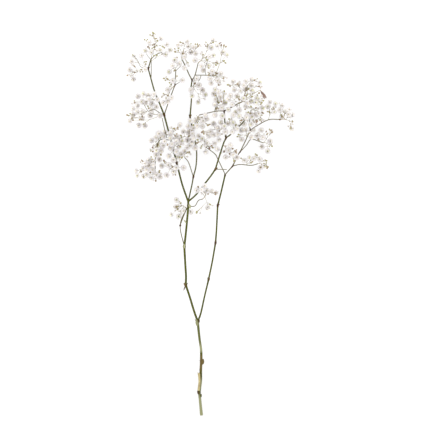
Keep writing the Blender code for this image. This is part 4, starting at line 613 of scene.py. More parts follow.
class Grower:
    """Grows the sprigs that carry one spray's heads, clear of what other bodies hold."""

    def __init__(self, owner, heads, rng, room):
        self.owner = owner
        self.heads = heads
        self.rng = rng
        self.room = room

    def clear(self, start, end, radius, flat_start=True):
        """Whether a stalk from start to end is clear of every other body."""
        inset = (end - start).normalized() * min(radius, (end - start).length / 2) * flat_start
        return self.room.gap(self.owner, start + inset, end, radius) > RUN_CLEARANCE

    def misses_heads(self, start, end, radius, own=None):
        """Whether a stalk passes beside the spray's own blooms and buds."""
        along = end - start
        for head in self.heads:
            if head is own:
                continue
            share = max(0, min(1, (head.place - start).dot(along) / max(along.length_squared, LEAST_SQUARED)))
            if (head.place - start - along * share).length < head.radius * HEAD_SHARE + radius:
                return False
        return True

    def tip_points(self, start, head):
        """A straight stalk to a head or, where something is in the way, a bent one."""
        straight = neck_of(head, start)
        free = self.clear(start, straight, TIP_RADIUS)
        if free and self.misses_heads(start, straight, TIP_RADIUS, head):
            return [start, straight]
        for attempt in range(BEND_ATTEMPTS):
            bend = start.lerp(head.place, self.rng.uniform(BEND_FROM, BEND_TO))
            bend += random_in_ball(self.rng) * (BEND_WANDER + BEND_WANDER_GROWTH * attempt)
            bend.z = max(bend.z, LOWEST_STALK)
            end = neck_of(head, bend)
            if not self.clear(start, bend, TIP_RADIUS) or not self.clear(bend, end, TIP_RADIUS, False):
                continue
            runs = ((start, bend), (bend, end))
            if all(self.misses_heads(*run, TIP_RADIUS, head) for run in runs):
                return [start, bend, end]
        return [start, straight] if free else None

    def fork_place(self, start, heading, group):
        """Where a stalk forks on its way to a group, or nothing if it forks at once."""
        centre = sum((head.place for head in group), Vector()) / len(group)
        nearest = min((head.place - start).length for head in group)
        step = min(FORK_SHARE * (centre - start).length, nearest - SHORTEST_STALK)
        if step < LEAST_STEP:
            return None
        spare = None
        for attempt in range(FORK_ATTEMPTS):
            course = (centre - start).normalized() * CENTRE_PULL + heading * HEADING_PULL
            course += random_in_ball(self.rng) * (FORK_WANDER + FORK_WANDER_GROWTH * attempt)
            fork = start + course.normalized() * step
            fork.z = max(fork.z, LOWEST_STALK)
            if self.clear(start, fork, MOST_RADIUS):
                if self.misses_heads(start, fork, MOST_RADIUS):
                    return fork
                spare = spare or fork
        return spare

    def grow(self, start, heading, group):
        """The sprigs that carry a group of heads. The first one starts at start, and the rest at forks."""
        if len(group) == 1:
            points = self.tip_points(start, group[0])
            return [Sprig(points, group[0])] if points else []
        fork = self.fork_place(start, heading, group)
        at = fork or start
        way = (at - start).normalized() if fork else heading
        grown = [self.grow(at, way, part) for part in split(at, group, self.rng)]
        grown = [sprigs for sprigs in grown if sprigs]
        if fork and grown:
            onward = max(grown, key=lambda sprigs: self.onward_score(sprigs, at, way))
            grown.remove(onward)
            grown.insert(0, onward)
            onward[0].points.insert(0, start)
        return [sprig for sprigs in grown for sprig in sprigs]

    def onward_score(self, sprigs, fork, way):
        """How much a branch looks like the main one beyond a fork: straight on, and with many heads."""
        return (sprigs[0].points[1] - fork).normalized().dot(way) + LOAD_PULL * len(sprigs)

    def rescue(self, sprigs):
        """Hangs each head that no stalk has reached on the nearest fork from which one can."""
        for head in self.heads:
            if any(sprig.head is head for sprig in sprigs):
                continue
            forks = [point for sprig in sprigs for point in sprig.points[1:-1]]
            forks.sort(key=lambda point: (point - head.place).length)
            for fork in forks[:NEAREST_FORKS]:
                points = self.tip_points(fork, head)
                if points:
                    sprigs.append(Sprig(points, head))
                    break


def facing_of(head, start):
    return head.facing or (head.place - start).normalized()


def neck_of(head, start):
    if head.kind == "withered":
        return Vector(WITHERED_NECK)
    depth = NECK_DEPTH * head.radius if head.kind == "bloom" else BUD_LENGTH / 2
    return head.place - facing_of(head, start) * depth


def root_start(grower, root, heading):
    """The first point off the limb where the flat base of a stalk, and its first run, are clear of it."""
    side = heading.cross(Vector(SIDE_GUIDE)).normalized()
    up = heading.cross(side)
    reach = ROOT_REACH
    while True:
        here = root + heading * reach
        rim = [here] + circle(here, side, up, MOST_RADIUS, RIM_POINTS)
        rim_clear = min(grower.room.gap(grower.owner, point, point, 0) for point in rim) > CLEARANCE
        if rim_clear and grower.clear(here, here + heading * ROOT_RUN, MOST_RADIUS):
            return here
        reach += ROOT_STEP


def thicken(sprigs):
    """Gives each stalk its radius: a little more for each head that it carries."""
    for sprig in sprigs:
        sprig.radii = [TIP_RADIUS] * len(sprig.points)
    for index in range(len(sprigs) - 1, -1, -1):
        sprig = sprigs[index]
        for number in range(len(sprig.points) - 2, -1, -1):
            point = sprig.points[number + 1]
            carried = [other.radii[0] for other in sprigs[index + 1:] if other.points[0] is point]
            load = sprig.radii[number + 1] + LOAD_RADIUS * len(carried)
            sprig.radii[number] = min(load, MOST_RADIUS)
    for sprig in sprigs:
        for number in range(1, len(sprig.radii) - 1):
            sprig.radii[number] = min(sprig.radii[number] * FORK_SWELL, MOST_RADIUS)
        if sprig.points[0] is not sprigs[0].points[0]:
            sprig.radii[0] = TIP_RADIUS * SUNK_SHARE


def limb_way(root):
    """The direction in which a limb ends at a root, or nothing where the root isn't a limb's tip."""
    for _, points in LIMBS.values():
        if (Vector(points[-1][:3]) - root).length < ROOT_STEP:
            return (root - Vector(points[-2][:3])).normalized()
    return Vector()


def occupy_sprigs(name, sprigs, room, placed):
    for sprig in sprigs:
        for number, (first, second) in enumerate(zip(sprig.points, sprig.points[1:])):
            room.add(name, first, second, max(sprig.radii[number:number + 2]))
        room.add(name, *sprig.head.body(facing_of(sprig.head, sprig.points[-2])))
        placed.append(sprig.head)


def grow_spray(name, seed, room, placed):
    root, blooms, buds = SPRAYS[name]
    root = Vector(root)
    rng = random.Random(seed)
    heads = [
        Head("bloom", Vector((x, y, BLOOM_RADIUS * PRESSED_HEIGHT)), BLOOM_RADIUS, Vector((0, 0, -1)))
        for owner, x, y in RESTING
        if owner == name
    ]
    heads += scatter(name, blooms, buds, rng, room, placed + heads)
    centre = sum((head.place for head in heads), Vector()) / len(heads)
    heading = ((centre - root).normalized() + limb_way(root)).normalized()
    grower = Grower(name, heads, rng, room)
    sprigs = grower.grow(root_start(grower, root, heading), heading, heads)
    grower.rescue(sprigs)
    thicken(sprigs)
    occupy_sprigs(name, sprigs, room, placed)
    return sprigs


def grow_withered(room, placed):
    """The withered bloom, on a stalk of its own."""
    root = Vector(WITHERED_ROOT)
    neck = Vector(WITHERED_NECK)
    tip = Vector(WITHERED_TIP)
    head = Head("withered", (neck + tip) / 2, WITHERED_RADIUS, (tip - neck).normalized())
    grower = Grower("withered_bloom", [head], random.Random(WITHERED_SEED), room)
    heading = (neck - root).normalized()
    sprigs = [Sprig([root_start(grower, root, heading), neck], head)]
    thicken(sprigs)
    occupy_sprigs("withered_bloom", sprigs, room, placed)
    return sprigs


def grow_all():
    """Every spray's sprigs, by name. Each spray keeps clear of the limbs and of the sprays before it."""
    room = Room()
    occupy_limbs(room)
    placed = []
    grown = {"withered_bloom": grow_withered(room, placed)}
    for seed, name in enumerate(SPRAYS, start=FIRST_SEED):
        grown[name] = grow_spray(name, seed, room, placed)
    return grown, room, placed


def circle(centre, side, up, radius, count):
    turns = [2 * math.pi * index / count for index in range(count)]
    return [centre + (side * math.cos(turn) + up * math.sin(turn)) * radius for turn in turns]


def trunk_at(y):
    """The trunk's middle and radius where it passes a given y."""
    points = LIMBS["trunk"][1]
    for first, second in zip(points, points[1:]):
        if first[1] <= y <= second[1]:
            share = (y - first[1]) / (second[1] - first[1])
            return Vector(first[:3]).lerp(Vector(second[:3]), share), max(first[3], second[3])
    return Vector(points[0][:3]), points[0][3]


# Buds and half-open blooms that only the fine model has
EXTRA_SEED = 301
EXTRA_ATTEMPTS = 90
EXTRA_SPREAD = 1.5
EXTRA_GAP = 0.15
EXTRA_BUD_RADII = (0.65, 0.95)
BUD_FILL = 1.45
HALF_OPEN_SHARE = 0.36
HALF_OPEN_RADIUS = 1.6
BOX_MARGIN = 0.15

# The stalks that carry them: their length, where they leave a long bare tip, and how they bend
LEAST_PEDICEL = 2.4
MOST_PEDICEL = 8.5
FAR_PEDICEL = 13.0
LONG_TIP = 3.5
PEDICEL_FROM = 0.45
PEDICEL_MIDDLE = 0.45
PEDICEL_BEND = 0.12
PEDICEL_SLIM = 0.9

# Fine stalks, and those of the blooms that lie on the surface
FINE_TIP = 0.12
RESTING_TIP = 0.24
FINE_LOAD = 0.035
FINE_MOST = 0.45
FINE_SIDES = 6
FINE_STEPS = 4
ROOT_FLARE = 1.15

# Joints of the stalks, with two scale leaves each
JOINT_RADIUS = 0.3
JOINT_LENGTH = 1.0
JOINT_PROFILE = ((-0.5, 0.5), (-0.25, 0.9), (0.0, 1.05), (0.25, 0.85), (0.5, 0.45))
JOINT_BASE = 0.7
JOINT_FROM_ROOT = 0.5
SCALE_LEAF = 1.1
SCALE_LEAF_WIDTH = 0.3
SCALE_LEAF_THICKNESS = 0.06
SCALE_LEAF_CUP = 0.4
SCALE_LEAF_GRID = (3, 5)
SCALE_LEAF_LINE = ((0.05, 0.0), (0.22, 0.3), (0.4, 0.92))

# How dark the joints of the stalks are, with their scale leaves, the bracts of the limbs and the bare stalks
JOINT_DARK = 0.9
SCALE_LEAF_DARK = 0.75
BRACT_DARK = 0.6
BARE_DARK = 0.1

# Petals and leaves: the narrow claw of a petal, its round tip, and the thickness of its blade
PETAL_CLAW = 0.22
CLAW_END = 0.72
CLAW_POWER = 1.5
ROUND_FROM = 0.75
ROUND_LENGTH = 0.29
BLUNT_TIP = 0.04
LEAF_FROM = 0.2
LEAF_POWER = 0.8
PETAL_THICKNESS = 0.03
RUFFLE_WAVES = 5
RUFFLE_PHASES = (0, 6)

# How the petals of a bloom differ
PETAL_TURN = 0.16
PETAL_REACH = (0.84, 1.0)
PETAL_RISE = (-0.08, 0.06)
PETAL_WIDTHS = (0.85, 1.1)
PETAL_NOTCHES = (0.1, 0.24)
PETAL_RUFFLES = (0.03, 0.08)
PETAL_TWIST = 0.25

# Whorls of petals from the outside in, for a bloom of radius one: how many, their width, foot, bend and tip
# as distances out and heights, how many columns and rows of points, and how cupped
WHORLS = {
    "open": (
        (7, 0.66, (0.12, -0.52), (0.62, -0.22), (0.94, -0.5), 5, 5, -0.25),
        (7, 0.64, (0.12, -0.5), (0.6, 0.04), (1.0, -0.16), 5, 5, 0.1),
        (6, 0.6, (0.1, -0.48), (0.46, 0.26), (0.88, 0.2), 5, 4, 0.3),
        (6, 0.54, (0.1, -0.45), (0.3, 0.4), (0.64, 0.48), 5, 4, 0.4),
        (5, 0.44, (0.08, -0.4), (0.16, 0.42), (0.36, 0.66), 4, 4, 0.5),
        (3, 0.34, (0.04, -0.35), (0.06, 0.4), (0.12, 0.7), 4, 4, 0.6),
    ),
    "small": (
        (6, 0.72, (0.12, -0.52), (0.62, -0.2), (0.92, -0.36), 5, 4, -0.1),
        (6, 0.68, (0.12, -0.5), (0.52, 0.1), (0.94, 0.06), 5, 4, 0.2),
        (5, 0.6, (0.1, -0.45), (0.34, 0.38), (0.66, 0.44), 5, 4, 0.4),
        (4, 0.46, (0.06, -0.4), (0.14, 0.4), (0.3, 0.66), 4, 4, 0.6),
    ),
    "half_open": (
        (6, 0.72, (0.15, -0.5), (0.66, -0.05), (0.86, 0.2), 5, 4, 0.3),
        (5, 0.62, (0.1, -0.45), (0.36, 0.35), (0.52, 0.6), 4, 4, 0.5),
        (3, 0.44, (0.06, -0.4), (0.12, 0.4), (0.2, 0.78), 4, 4, 0.6),
    ),
}
VARIANTS = 7
SHAPE_SEED = 77

# Calyxes and buds, turned from a profile of heights and radii, with five ribs
CALYX_PROFILE = ((-0.97, 0.09), (-0.9, 0.17), (-0.78, 0.24), (-0.62, 0.28), (-0.46, 0.28), (-0.36, 0.24))
CALYX_TEETH = 0.08
CALYX_RIB_DEPTH = 0.05
BUD_PROFILE = (
    (-0.5, 0.12), (-0.46, 0.25), (-0.33, 0.4), (-0.12, 0.46), (0.1, 0.44), (0.28, 0.34), (0.42, 0.2),
    (0.5, 0.06))
BUD_RIB_DEPTH = 0.04
RIBS = 5
RIBBED_SIDES = 10
CALYX_FOOT = 0.93
BUD_FOOT = 0.96
BUD_STRETCH = 1.15
BUD_STRETCHES = (0.9, 1.1)

# How large the fine blooms are against their solids, the small ones the most
FINE_BLOOM = 1.03
SMALL_GAIN = 1.0

# How far a head may turn upwards from its stalk, in degrees, and how long the bent end of its stalk is
RAISED_BLOOM = (60.0, 110.0)
RAISED_BUD = (0.0, 30.0)
RAISED_SHARE = (0.5, 0.9)
MOST_RAISED = 0.98
STRAIGHT_DOWN = 3.0
MOST_NOD = 1.4
NOD_SHARE = 0.4

# Limbs
LIMB_SIDES = 14
LIMB_STEPS = 7
JOINT_STEP = 2.4
SWELL_WIDTH = 1.3
SWELL_AMOUNT = 0.42
SHADE_WIDTH = 2.2
# From this radius down a limb looks thin, fully so a little lower
THIN_RADIUS = 1.1
THIN_RANGE = 0.6

# How thick each limb is against its solid, and how thick the twigs are
FINE_LIMBS = {
    "trunk": 1.02, "left_limb": 1.14, "crown_limb": 1.12, "middle_limb": 1.12, "cloud_limb": 1.0,
    "right_limb": 1.22, "cloud_inner_limb": 1.35}
FINE_TWIG = 0.88

# Stretches of the trunk that are browner or paler than the rest, as from y, to y and how brown
TRUNK_PATCHES = (
    (-149.0, -131.5, 0.45), (-131.0, -122.0, -0.34), (-122.0, -97.0, -0.06), (-174.0, -168.0, 0.3),
    (-200.0, -158.0, -0.3))
PATCH_FADE = 1.2

# The joints that aren't dark and fully swollen, with how swollen and how dark each is
JOINT_LOOKS = {
    ("trunk", 2): (0.3, 0.4),
    ("trunk", 4): (0.1, 0.1),
    ("trunk", 5): (0.3, 0.3),
    ("trunk", 8): (0.6, 0.25),
    ("left_limb", 3): (0.8, 0.6),
    ("left_limb", 6): (1.0, 0.1),
    ("left_limb", 9): (0.8, 0.5),
    ("right_limb", 3): (1.0, 0.6),
    ("right_limb", 10): (0.8, 0.6),
    ("cloud_limb", 4): (1.2, 0.7),
    ("middle_limb", 6): (0.6, 0.7),
}

# Bracts, buds and bumps at the joints: the middle, the way that it points, its length and width, and how dark
# and how brown it is, where less than nothing is paler than the stem
JOINT_PARTS = (
    ((-13.9, -99.6, 10.2), (-0.16, 1, 0.05), 7.2, 2.9, 0.0, -0.28),
    ((-11.7, -98.2, 10.2), (0.2, 1, 0.3), 4.2, 1.7, 0.85, 0.0),
    ((-12.7, -171.2, 3.6), (-0.3, 1, 0.2), 4.4, 1.9, 0.85, 0.2),
    ((-9.6, -174.3, 3.6), (0.1, 1, 0.2), 3.8, 1.5, 0.1, 0.1),
    ((-7.9, -139.6, 6.6), (0.14, 1, 0.1), 6.0, 3.2, 0.15, 0.5),
    ((-26.2, -60.9, 15.0), (-0.3, 1, 0.3), 4.0, 1.8, 0.15, 0.7),
    ((-26.7, -65.2, 14.6), (-0.3, -1, 0.1), 4.6, 1.2, 0.7, 0.2),
    ((-26.6, -22.0, 20.0), (0.1, 1, 0.2), 4.6, 1.9, 0.0, -0.5),
    ((-21.1, 18.4, 24.0), (0.3, -1, 0.1), 5.0, 2.4, 0.0, -0.5),
    ((-30.8, -0.8, 13.4), (0.2, 1, 0.4), 2.6, 2.2, 0.8, 0.4),
    ((-25.8, 3.2, 22.2), (-0.8, 1, 0.2), 4.4, 1.4, 0.0, -0.6),
    ((-21.1, 110.2, 24.6), (-0.5, 1, 0.4), 3.0, 1.4, 0.7, 0.3),
    ((-19.9, 110.4, 24.6), (0.5, 1, 0.4), 3.0, 1.4, 0.0, 0.8),
    ((5.6, 56.6, 32.0), (0.6, 1, 0.3), 3.4, 1.7, 0.4, 0.8),
    ((-1.3, -55.3, 12.6), (0.3, 1, 0.3), 3.2, 1.7, 0.4, 0.8),
    ((70.6, 106.7, 21.8), (1, 0.3, 0.2), 2.6, 1.7, 0.1, 0.9),
)
JOINT_PART_PROFILE = (
    (-0.5, 0.16), (-0.42, 0.34), (-0.26, 0.47), (-0.05, 0.5), (0.15, 0.42), (0.32, 0.28), (0.44, 0.14),
    (0.5, 0.04))
JOINT_PART_RIB_DEPTH = 0.06

# Bare stalks that run beside the limbs or fork from them, as x, y, z and radius
BARE_STALKS = (
    ((-60.1, 147.2, 31.7, 0.4), (-60.0, 150.0, 32.2, 0.36), (-59.9, 159.5, 32.2, 0.34),
     (-60.1, 166.9, 31.4, 0.36)),
    ((-60.3, 166.9, 31.2, 0.42), (-58.8, 168.8, 32.0, 0.38), (-55.4, 171.8, 33.0, 0.36),
     (-50.4, 173.8, 33.4, 0.34), (-48.0, 173.2, 33.0, 0.28)),
    ((-60.3, 166.9, 31.2, 0.3), (-63.0, 170.0, 32.4, 0.26), (-65.2, 173.2, 33.2, 0.22)),
    ((-63.0, 157.9, 31.6, 0.3), (-67.6, 158.6, 32.6, 0.26), (-71.2, 160.4, 33.2, 0.26),
     (-74.0, 166.6, 33.6, 0.24), (-77.4, 170.4, 33.4, 0.18)),
    ((-44.1, 87.7, 29.0, 0.42), (-45.0, 90.4, 31.6, 0.42), (-48.0, 103.6, 32.4, 0.4),
     (-48.9, 107.6, 31.4, 0.36)),
    ((-46.9, 111.2, 30.4, 0.4), (-51.7, 113.4, 33.0, 0.4), (-56.8, 116.4, 35.2, 0.34),
     (-60.5, 115.6, 36.0, 0.28), (-63.4, 115.1, 36.0, 0.26), (-67.9, 122.8, 35.6, 0.22)),
    ((-30.8, -0.6, 13.2, 0.5), (-28.6, 5.5, 16.0, 0.5), (-26.2, 11.5, 19.0, 0.48), (-23.4, 17.6, 22.2, 0.45)),
    ((-9.5, 151.3, 29.9, 0.34), (-10.6, 147.6, 30.4, 0.34), (-12.4, 145.0, 30.2, 0.3)),
    ((-15.8, 151.3, 29.3, 0.36), (-16.7, 146.0, 29.2, 0.36), (-16.8, 138.4, 28.4, 0.34)),
    ((-4.6, 151.3, 30.3, 0.3), (-5.5, 156.0, 31.6, 0.28), (-5.0, 160.7, 32.8, 0.28),
     (-3.5, 164.0, 33.6, 0.26), (-1.9, 167.8, 33.8, 0.22)),
    ((-35.1, 155.2, 34.6, 0.3), (-33.4, 157.2, 35.4, 0.26), (-30.2, 159.8, 36.0, 0.2)),
    ((-36.0, 141.0, 34.0, 0.3), (-31.4, 144.0, 35.6, 0.24), (-28.0, 146.0, 36.8, 0.2)),
    ((4.4, 114.7, 36.0, 0.42), (5.6, 119.5, 37.6, 0.44), (7.8, 125.0, 38.8, 0.4), (6.4, 129.0, 39.0, 0.3),
     (5.4, 132.8, 38.8, 0.3), (7.6, 134.8, 39.0, 0.32), (10.8, 136.2, 38.8, 0.26)),
)

# The fine sheath: how many columns and rows of points, how much narrower it grows upwards, how far it turns
# towards the viewer, how wide it is against its solid, how far its outer and inner skins stand off the trunk,
# how deep its top is torn and in what waves, its veins, and its waves upwards and across
SHEATH_GRID = (17, 26)
FINE_SHEATH_TAPER = 0.25
FINE_SHEATH_TURN = 0.2
FINE_SHEATH_ARC = 1.05
SHEATH_SKINS = (0.6, 0.1)
SHEATH_TEAR = 0.1
SHEATH_TEAR_WAVES = (9, 1.3, 4)
SHEATH_VEINS = 22
SHEATH_VEIN_DEPTH = 0.05
SHEATH_WAVE = 0.12
SHEATH_WAVES = (7, 2)

# The withered bloom: its petals, their size against its length, and where they sit on it
WITHERED_WHORLS = (
    (5, 0.52, (0.05, -0.3), (0.34, 0.3), (0.15, 1.4), 5, 7, 0.7),
    (4, 0.38, (0.04, -0.25), (0.24, 0.3), (0.08, 1.15), 3, 6, 0.7),
)
WITHERED_SIZE = 0.62
WITHERED_MIDDLE = 0.42
WITHERED_TURN = 0.4
WITHERED_CALYX = 1.7
WITHERED_CALYX_AT = 1.6
WITHERED_CALYX_MARK = 0.9
WITHERED_BEND = (0, 0.8, 0.3)
WITHERED_BEND_AT = 0.55
WITHERED_NECK_ENDS = (-0.4, 0.5)
WITHERED_STALK = (0.3, 0.26, 0.24, 0.24)
WITHERED_TINT = (0.3, 0.5, 0.5, 1)
WITHERED_STEPS = 6
WITHERED_SIDES = 8

# Edges sharper than this stay sharp, such as the rims of petals. No point lies lower than the second value.
FINE_SHARP_ANGLE = math.radians(65)
LOWEST_POINT = 0.02

# How strongly the surfaces' small bumps show
BUMP_STRENGTH = 0.6

# Camera, in metres: the middle of the picture on the ground, the width that it shows at the middle height of
# the sprays, and that height
PICTURE_MIDDLE = (0.00424, 0.00936)
PICTURE_WIDTH = 0.436
SPRAY_HEIGHT = 0.025
CAMERA_HEIGHT = 4.0
SENSOR_WIDTH = 36.0
FAR_CLIP = 50
FLOOR_SIZE = 12.0

# Light: nearly even from all round, with a ground that glows faintly so that it is just white
WORLD_STRENGTH = 1.38
KEY_PLACE = (-1.1, 1.0, 1.7)
KEY_SIZE = 1.4
KEY_POWER = 8.0
GROUND_GLOW = 0.64


class Piece:
    """Gathers the faces of one mesh. Each point has a tint, and each face the number of its material.

    A tint has four values, which the materials read:
    limbs: how dark the point is, how brown, how thin its limb is, and one
    stalks: how dark the point is, the stalk's own shade, how far along the point is, and one
    petals: how far along the point is, the petal's own shade, the bloom's mark, and how far in its whorl is
    buds and calyxes: how far along the point is, nothing, the head's mark, and one
    sheath: how far along the point is, how far from the middle, the height of its vein, and one
    """

    def __init__(self):
        self.points = []
        self.tints = []
        self.faces = []
        self.slots = []
        self.count = 0

    def add(self, points, faces, tints, slot=0):
        """Adds faces and their points. The tints are one row for all the points, or a row for each."""
        points = np.asarray(points, float).reshape(-1, 3)
        self.points.append(points)
        self.tints.append(np.broadcast_to(np.asarray(tints, float), (len(points), 4)))
        self.faces.extend([tuple(self.count + corner for corner in face) for face in faces])
        self.slots.extend([slot] * len(faces))
        self.count += len(points)

    def build(self, name, materials, slot, *replaced):
        """Makes the mesh object, which rides on the stem and stands for the solids that it replaces."""
        points = np.concatenate(self.points)
        points[:, 0] += SHIFT_X
        points[:, 1] += SHIFT_Y
        points[:, 2] = np.maximum(points[:, 2], LOWEST_POINT)
        mesh = bpy.data.meshes.new(name)
        mesh.from_pydata((points * MM).tolist(), [], self.faces)
        for material in materials:
            mesh.materials.append(material)
        mesh.polygons.foreach_set("material_index", np.array(self.slots, np.int32))
        tint = mesh.color_attributes.new("tint", "FLOAT_COLOR", "POINT")
        tint.data.foreach_set("color", np.concatenate(self.tints).astype(np.float32).ravel())
        mesh.shade_smooth()
        mesh.set_sharp_from_angle(angle=FINE_SHARP_ANGLE)
        mesh.update()
        made = bpy.data.objects.new(name, mesh)
        bpy.context.scene.collection.objects.link(made)
        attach(made, "root")
        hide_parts(*replaced)
        return made


def smooth_run(points, steps):
    """A smooth run through rows of x, y, z and radius."""
    rows = np.array([[*point] for point in points], float)
    if len(rows) == 2:
        shares = np.linspace(0, 1, steps + 1)[:, None]
        return rows[0] + (rows[1] - rows[0]) * shares
    padded = np.vstack([2 * rows[0] - rows[1], rows, 2 * rows[-1] - rows[-2]])
    found = []
    for before, start, end, after in zip(padded, padded[1:], padded[2:], padded[3:]):
        for step in range(steps):
            t = step / steps
            found.append(0.5 * (
                2 * start + (end - before) * t + (2 * before - 5 * start + 4 * end - after) * t * t
                + (3 * start - before - 3 * end + after) * t ** 3
            ))
    found.append(rows[-1])
    found = np.array(found)
    found[:, 3] = np.clip(found[:, 3], rows[:, 3].min(), rows[:, 3].max())
    return found


def ring_faces(rings, sides):
    """The faces of a tube of so many rings, with its ends closed."""
    faces = []
    for low in range(0, (rings - 1) * sides, sides):
        for side in range(sides):
            after = (side + 1) % sides
            faces.append((low + side, low + after, low + sides + after, low + sides + side))
    faces.append(tuple(range(sides - 1, -1, -1)))
    faces.append(tuple((rings - 1) * sides + side for side in range(sides)))
    return faces


def tube_rings(run, sides):
    """Rings round a run, turned as little as possible from one to the next."""
    centres = run[:, :3]
    ways = np.gradient(centres, axis=0)
    ways /= np.linalg.norm(ways, axis=1)[:, None] + TINY
    side = np.cross(ways[0], SIDE_GUIDE)
    turns = np.linspace(0, 2 * np.pi, sides, endpoint=False)[:, None]
    rings = []
    for centre, way, radius in zip(centres, ways, run[:, 3]):
        side = side - way * side.dot(way)
        side /= np.linalg.norm(side)
        up = np.cross(way, side)
        rings.append(centre + radius * (np.cos(turns) * side + np.sin(turns) * up))
    return np.concatenate(rings)


def add_tube(piece, run, sides, tints, slot=0):
    """A tube along a run. The tints are one row for the whole tube, or one for each of its rings."""
    tints = np.broadcast_to(np.asarray(tints, float), (len(run), 4))
    piece.add(tube_rings(run, sides), ring_faces(len(run), sides), np.repeat(tints, sides, axis=0), slot)


def axes_for(way, turn=0.0):
    """A turned frame whose third axis is the way given, as rows."""
    way = Vector(way).normalized()
    side = way.cross(Vector(SIDE_GUIDE)).normalized()
    up = way.cross(side)
    first = side * math.cos(turn) + up * math.sin(turn)
    return np.array([first, way.cross(first), way])


def blade(width, columns, rows, centre_line, outline, thickness, notch=0.0, cup=0.0, ruffle=0.0, phase=0.0):
    """A petal or a leaf as a thin closed lens: its points, its faces and how far along each point is.

    The centre line gives, for each share of the length, the distance out and the height. The rim is shared by
    the two skins.
    """
    tops, shares, inner = [], [], []
    for row in range(rows):
        along = row / (rows - 1)
        for column in range(columns):
            across = 2 * column / (columns - 1) - 1
            out, height = centre_line(along * (1 - notch * (1 - across * across) * along))
            spread = width / 2 * outline(along)
            lift = cup * across * across * spread
            lift += ruffle * math.sin(across * RUFFLE_WAVES + phase) * along ** 3
            tops.append((out, across * spread, height + lift))
            shares.append(along)
            inner.append(0 < row < rows - 1 and 0 < column < columns - 1)
    tops, shares, inner = np.array(tops), np.array(shares), np.array(inner)
    half = np.outer(inner, (0, 0, thickness / 2))
    under_of = np.arange(len(tops))
    under_of[inner] = len(tops) + np.arange(inner.sum())
    faces = []
    for row in range(rows - 1):
        for column in range(columns - 1):
            low = row * columns + column
            quad = (low, low + columns, low + columns + 1, low + 1)
            faces.append(quad)
            faces.append(tuple(int(under_of[corner]) for corner in reversed(quad)))
    points = np.concatenate([tops + half, (tops - half)[inner]])
    return points, faces, np.concatenate([shares, shares[inner]])


def petal_width(along):
    """How wide a petal is along its length, narrow at its foot and round at its tip."""
    claw = PETAL_CLAW + (1 - PETAL_CLAW) * math.sin(min(1, along / CLAW_END) * math.pi / 2) ** CLAW_POWER
    if along < ROUND_FROM:
        return claw
    return claw * math.sqrt(max(BLUNT_TIP, 1 - ((along - ROUND_FROM) / ROUND_LENGTH) ** 2))


def leaf_width(along):
    """How wide a leaf is along its length, clasping at its foot and pointed at its tip."""
    return max(BLUNT_TIP, math.sin(math.pi * (LEAF_FROM + (1 - LEAF_FROM) * along)) ** LEAF_POWER)


def bent(start, control, end):
    """A bent line through distances out and heights, as a function of the share along it."""
    def at(t):
        ahead = 1 - t
        return tuple(
            ahead * ahead * first + 2 * ahead * t * middle + t * t * last
            for first, middle, last in zip(start, control, end))
    return at


def bloom_shape(whorls, rng):
    """The petals of one bloom of radius one, with points, faces and tints."""
    points, faces, tints = [], [], []
    total = 0
    for number, (count, width, foot, bend, tip, columns, rows, cup) in enumerate(whorls):
        for index in range(count):
            turn = 2 * math.pi * (index + 0.5 * (number % 2) + rng.uniform(-PETAL_TURN, PETAL_TURN)) / count
            reach = rng.uniform(*PETAL_REACH)
            line = bent(foot, bend, (tip[0] * reach, tip[1] + rng.uniform(*PETAL_RISE)))
            found, made, shares = blade(
                width * rng.uniform(*PETAL_WIDTHS), columns, rows, line, petal_width, PETAL_THICKNESS,
                notch=rng.uniform(*PETAL_NOTCHES), cup=cup, ruffle=rng.uniform(*PETAL_RUFFLES),
                phase=rng.uniform(*RUFFLE_PHASES),
            )
            out, side, height = found.T
            height = height + side * rng.uniform(-PETAL_TWIST, PETAL_TWIST)
            cosine, sine = math.cos(turn), math.sin(turn)
            points.append(np.stack([out * cosine - side * sine, out * sine + side * cosine, height], axis=1))
            faces.extend([tuple(total + corner for corner in face) for face in made])
            shade = np.full(len(found), rng.random())
            inside = np.full(len(found), number / len(whorls))
            tints.append(np.stack([shares, shade, np.zeros(len(found)), inside], axis=1))
            total += len(found)
    return np.concatenate(points), faces, np.concatenate(tints)


def turned_shape(profile, lobes, teeth=0.0):
    """A turned form with ribs, for calyxes and buds, with its foot first and teeth on its last ring."""
    turns = np.linspace(0, 2 * np.pi, RIBBED_SIDES, endpoint=False)
    ribs = np.cos(turns * RIBS)
    rings = []
    for number, (height, radius) in enumerate(profile):
        ribbed = radius * (1 + lobes * ribs)
        tops = height + teeth * ribs * (number == len(profile) - 1)
        rings.append(np.stack([np.cos(turns) * ribbed, np.sin(turns) * ribbed, tops], axis=1))
    points = np.concatenate(rings)
    tints = np.zeros((len(points), 4))
    tints[:, 0] = np.repeat(np.arange(len(profile)) / (len(profile) - 1), RIBBED_SIDES)
    tints[:, 3] = 1
    return points, ring_faces(len(profile), RIBBED_SIDES), tints


def make_shapes():
    rng = random.Random(SHAPE_SEED)
    shapes = {kind: [bloom_shape(whorls, rng) for _ in range(VARIANTS)] for kind, whorls in WHORLS.items()}
    shapes["calyx"] = turned_shape(CALYX_PROFILE, CALYX_RIB_DEPTH, CALYX_TEETH)
    shapes["bud"] = turned_shape(BUD_PROFILE, BUD_RIB_DEPTH)
    return shapes


def place_shape(piece, shape, place, axes, size, mark, slot=0):
    points, faces, tints = shape
    tints = tints.copy()
    tints[:, 2] = mark
    piece.add(np.array(place) + size * points @ axes, faces, tints, slot)


# Sprays

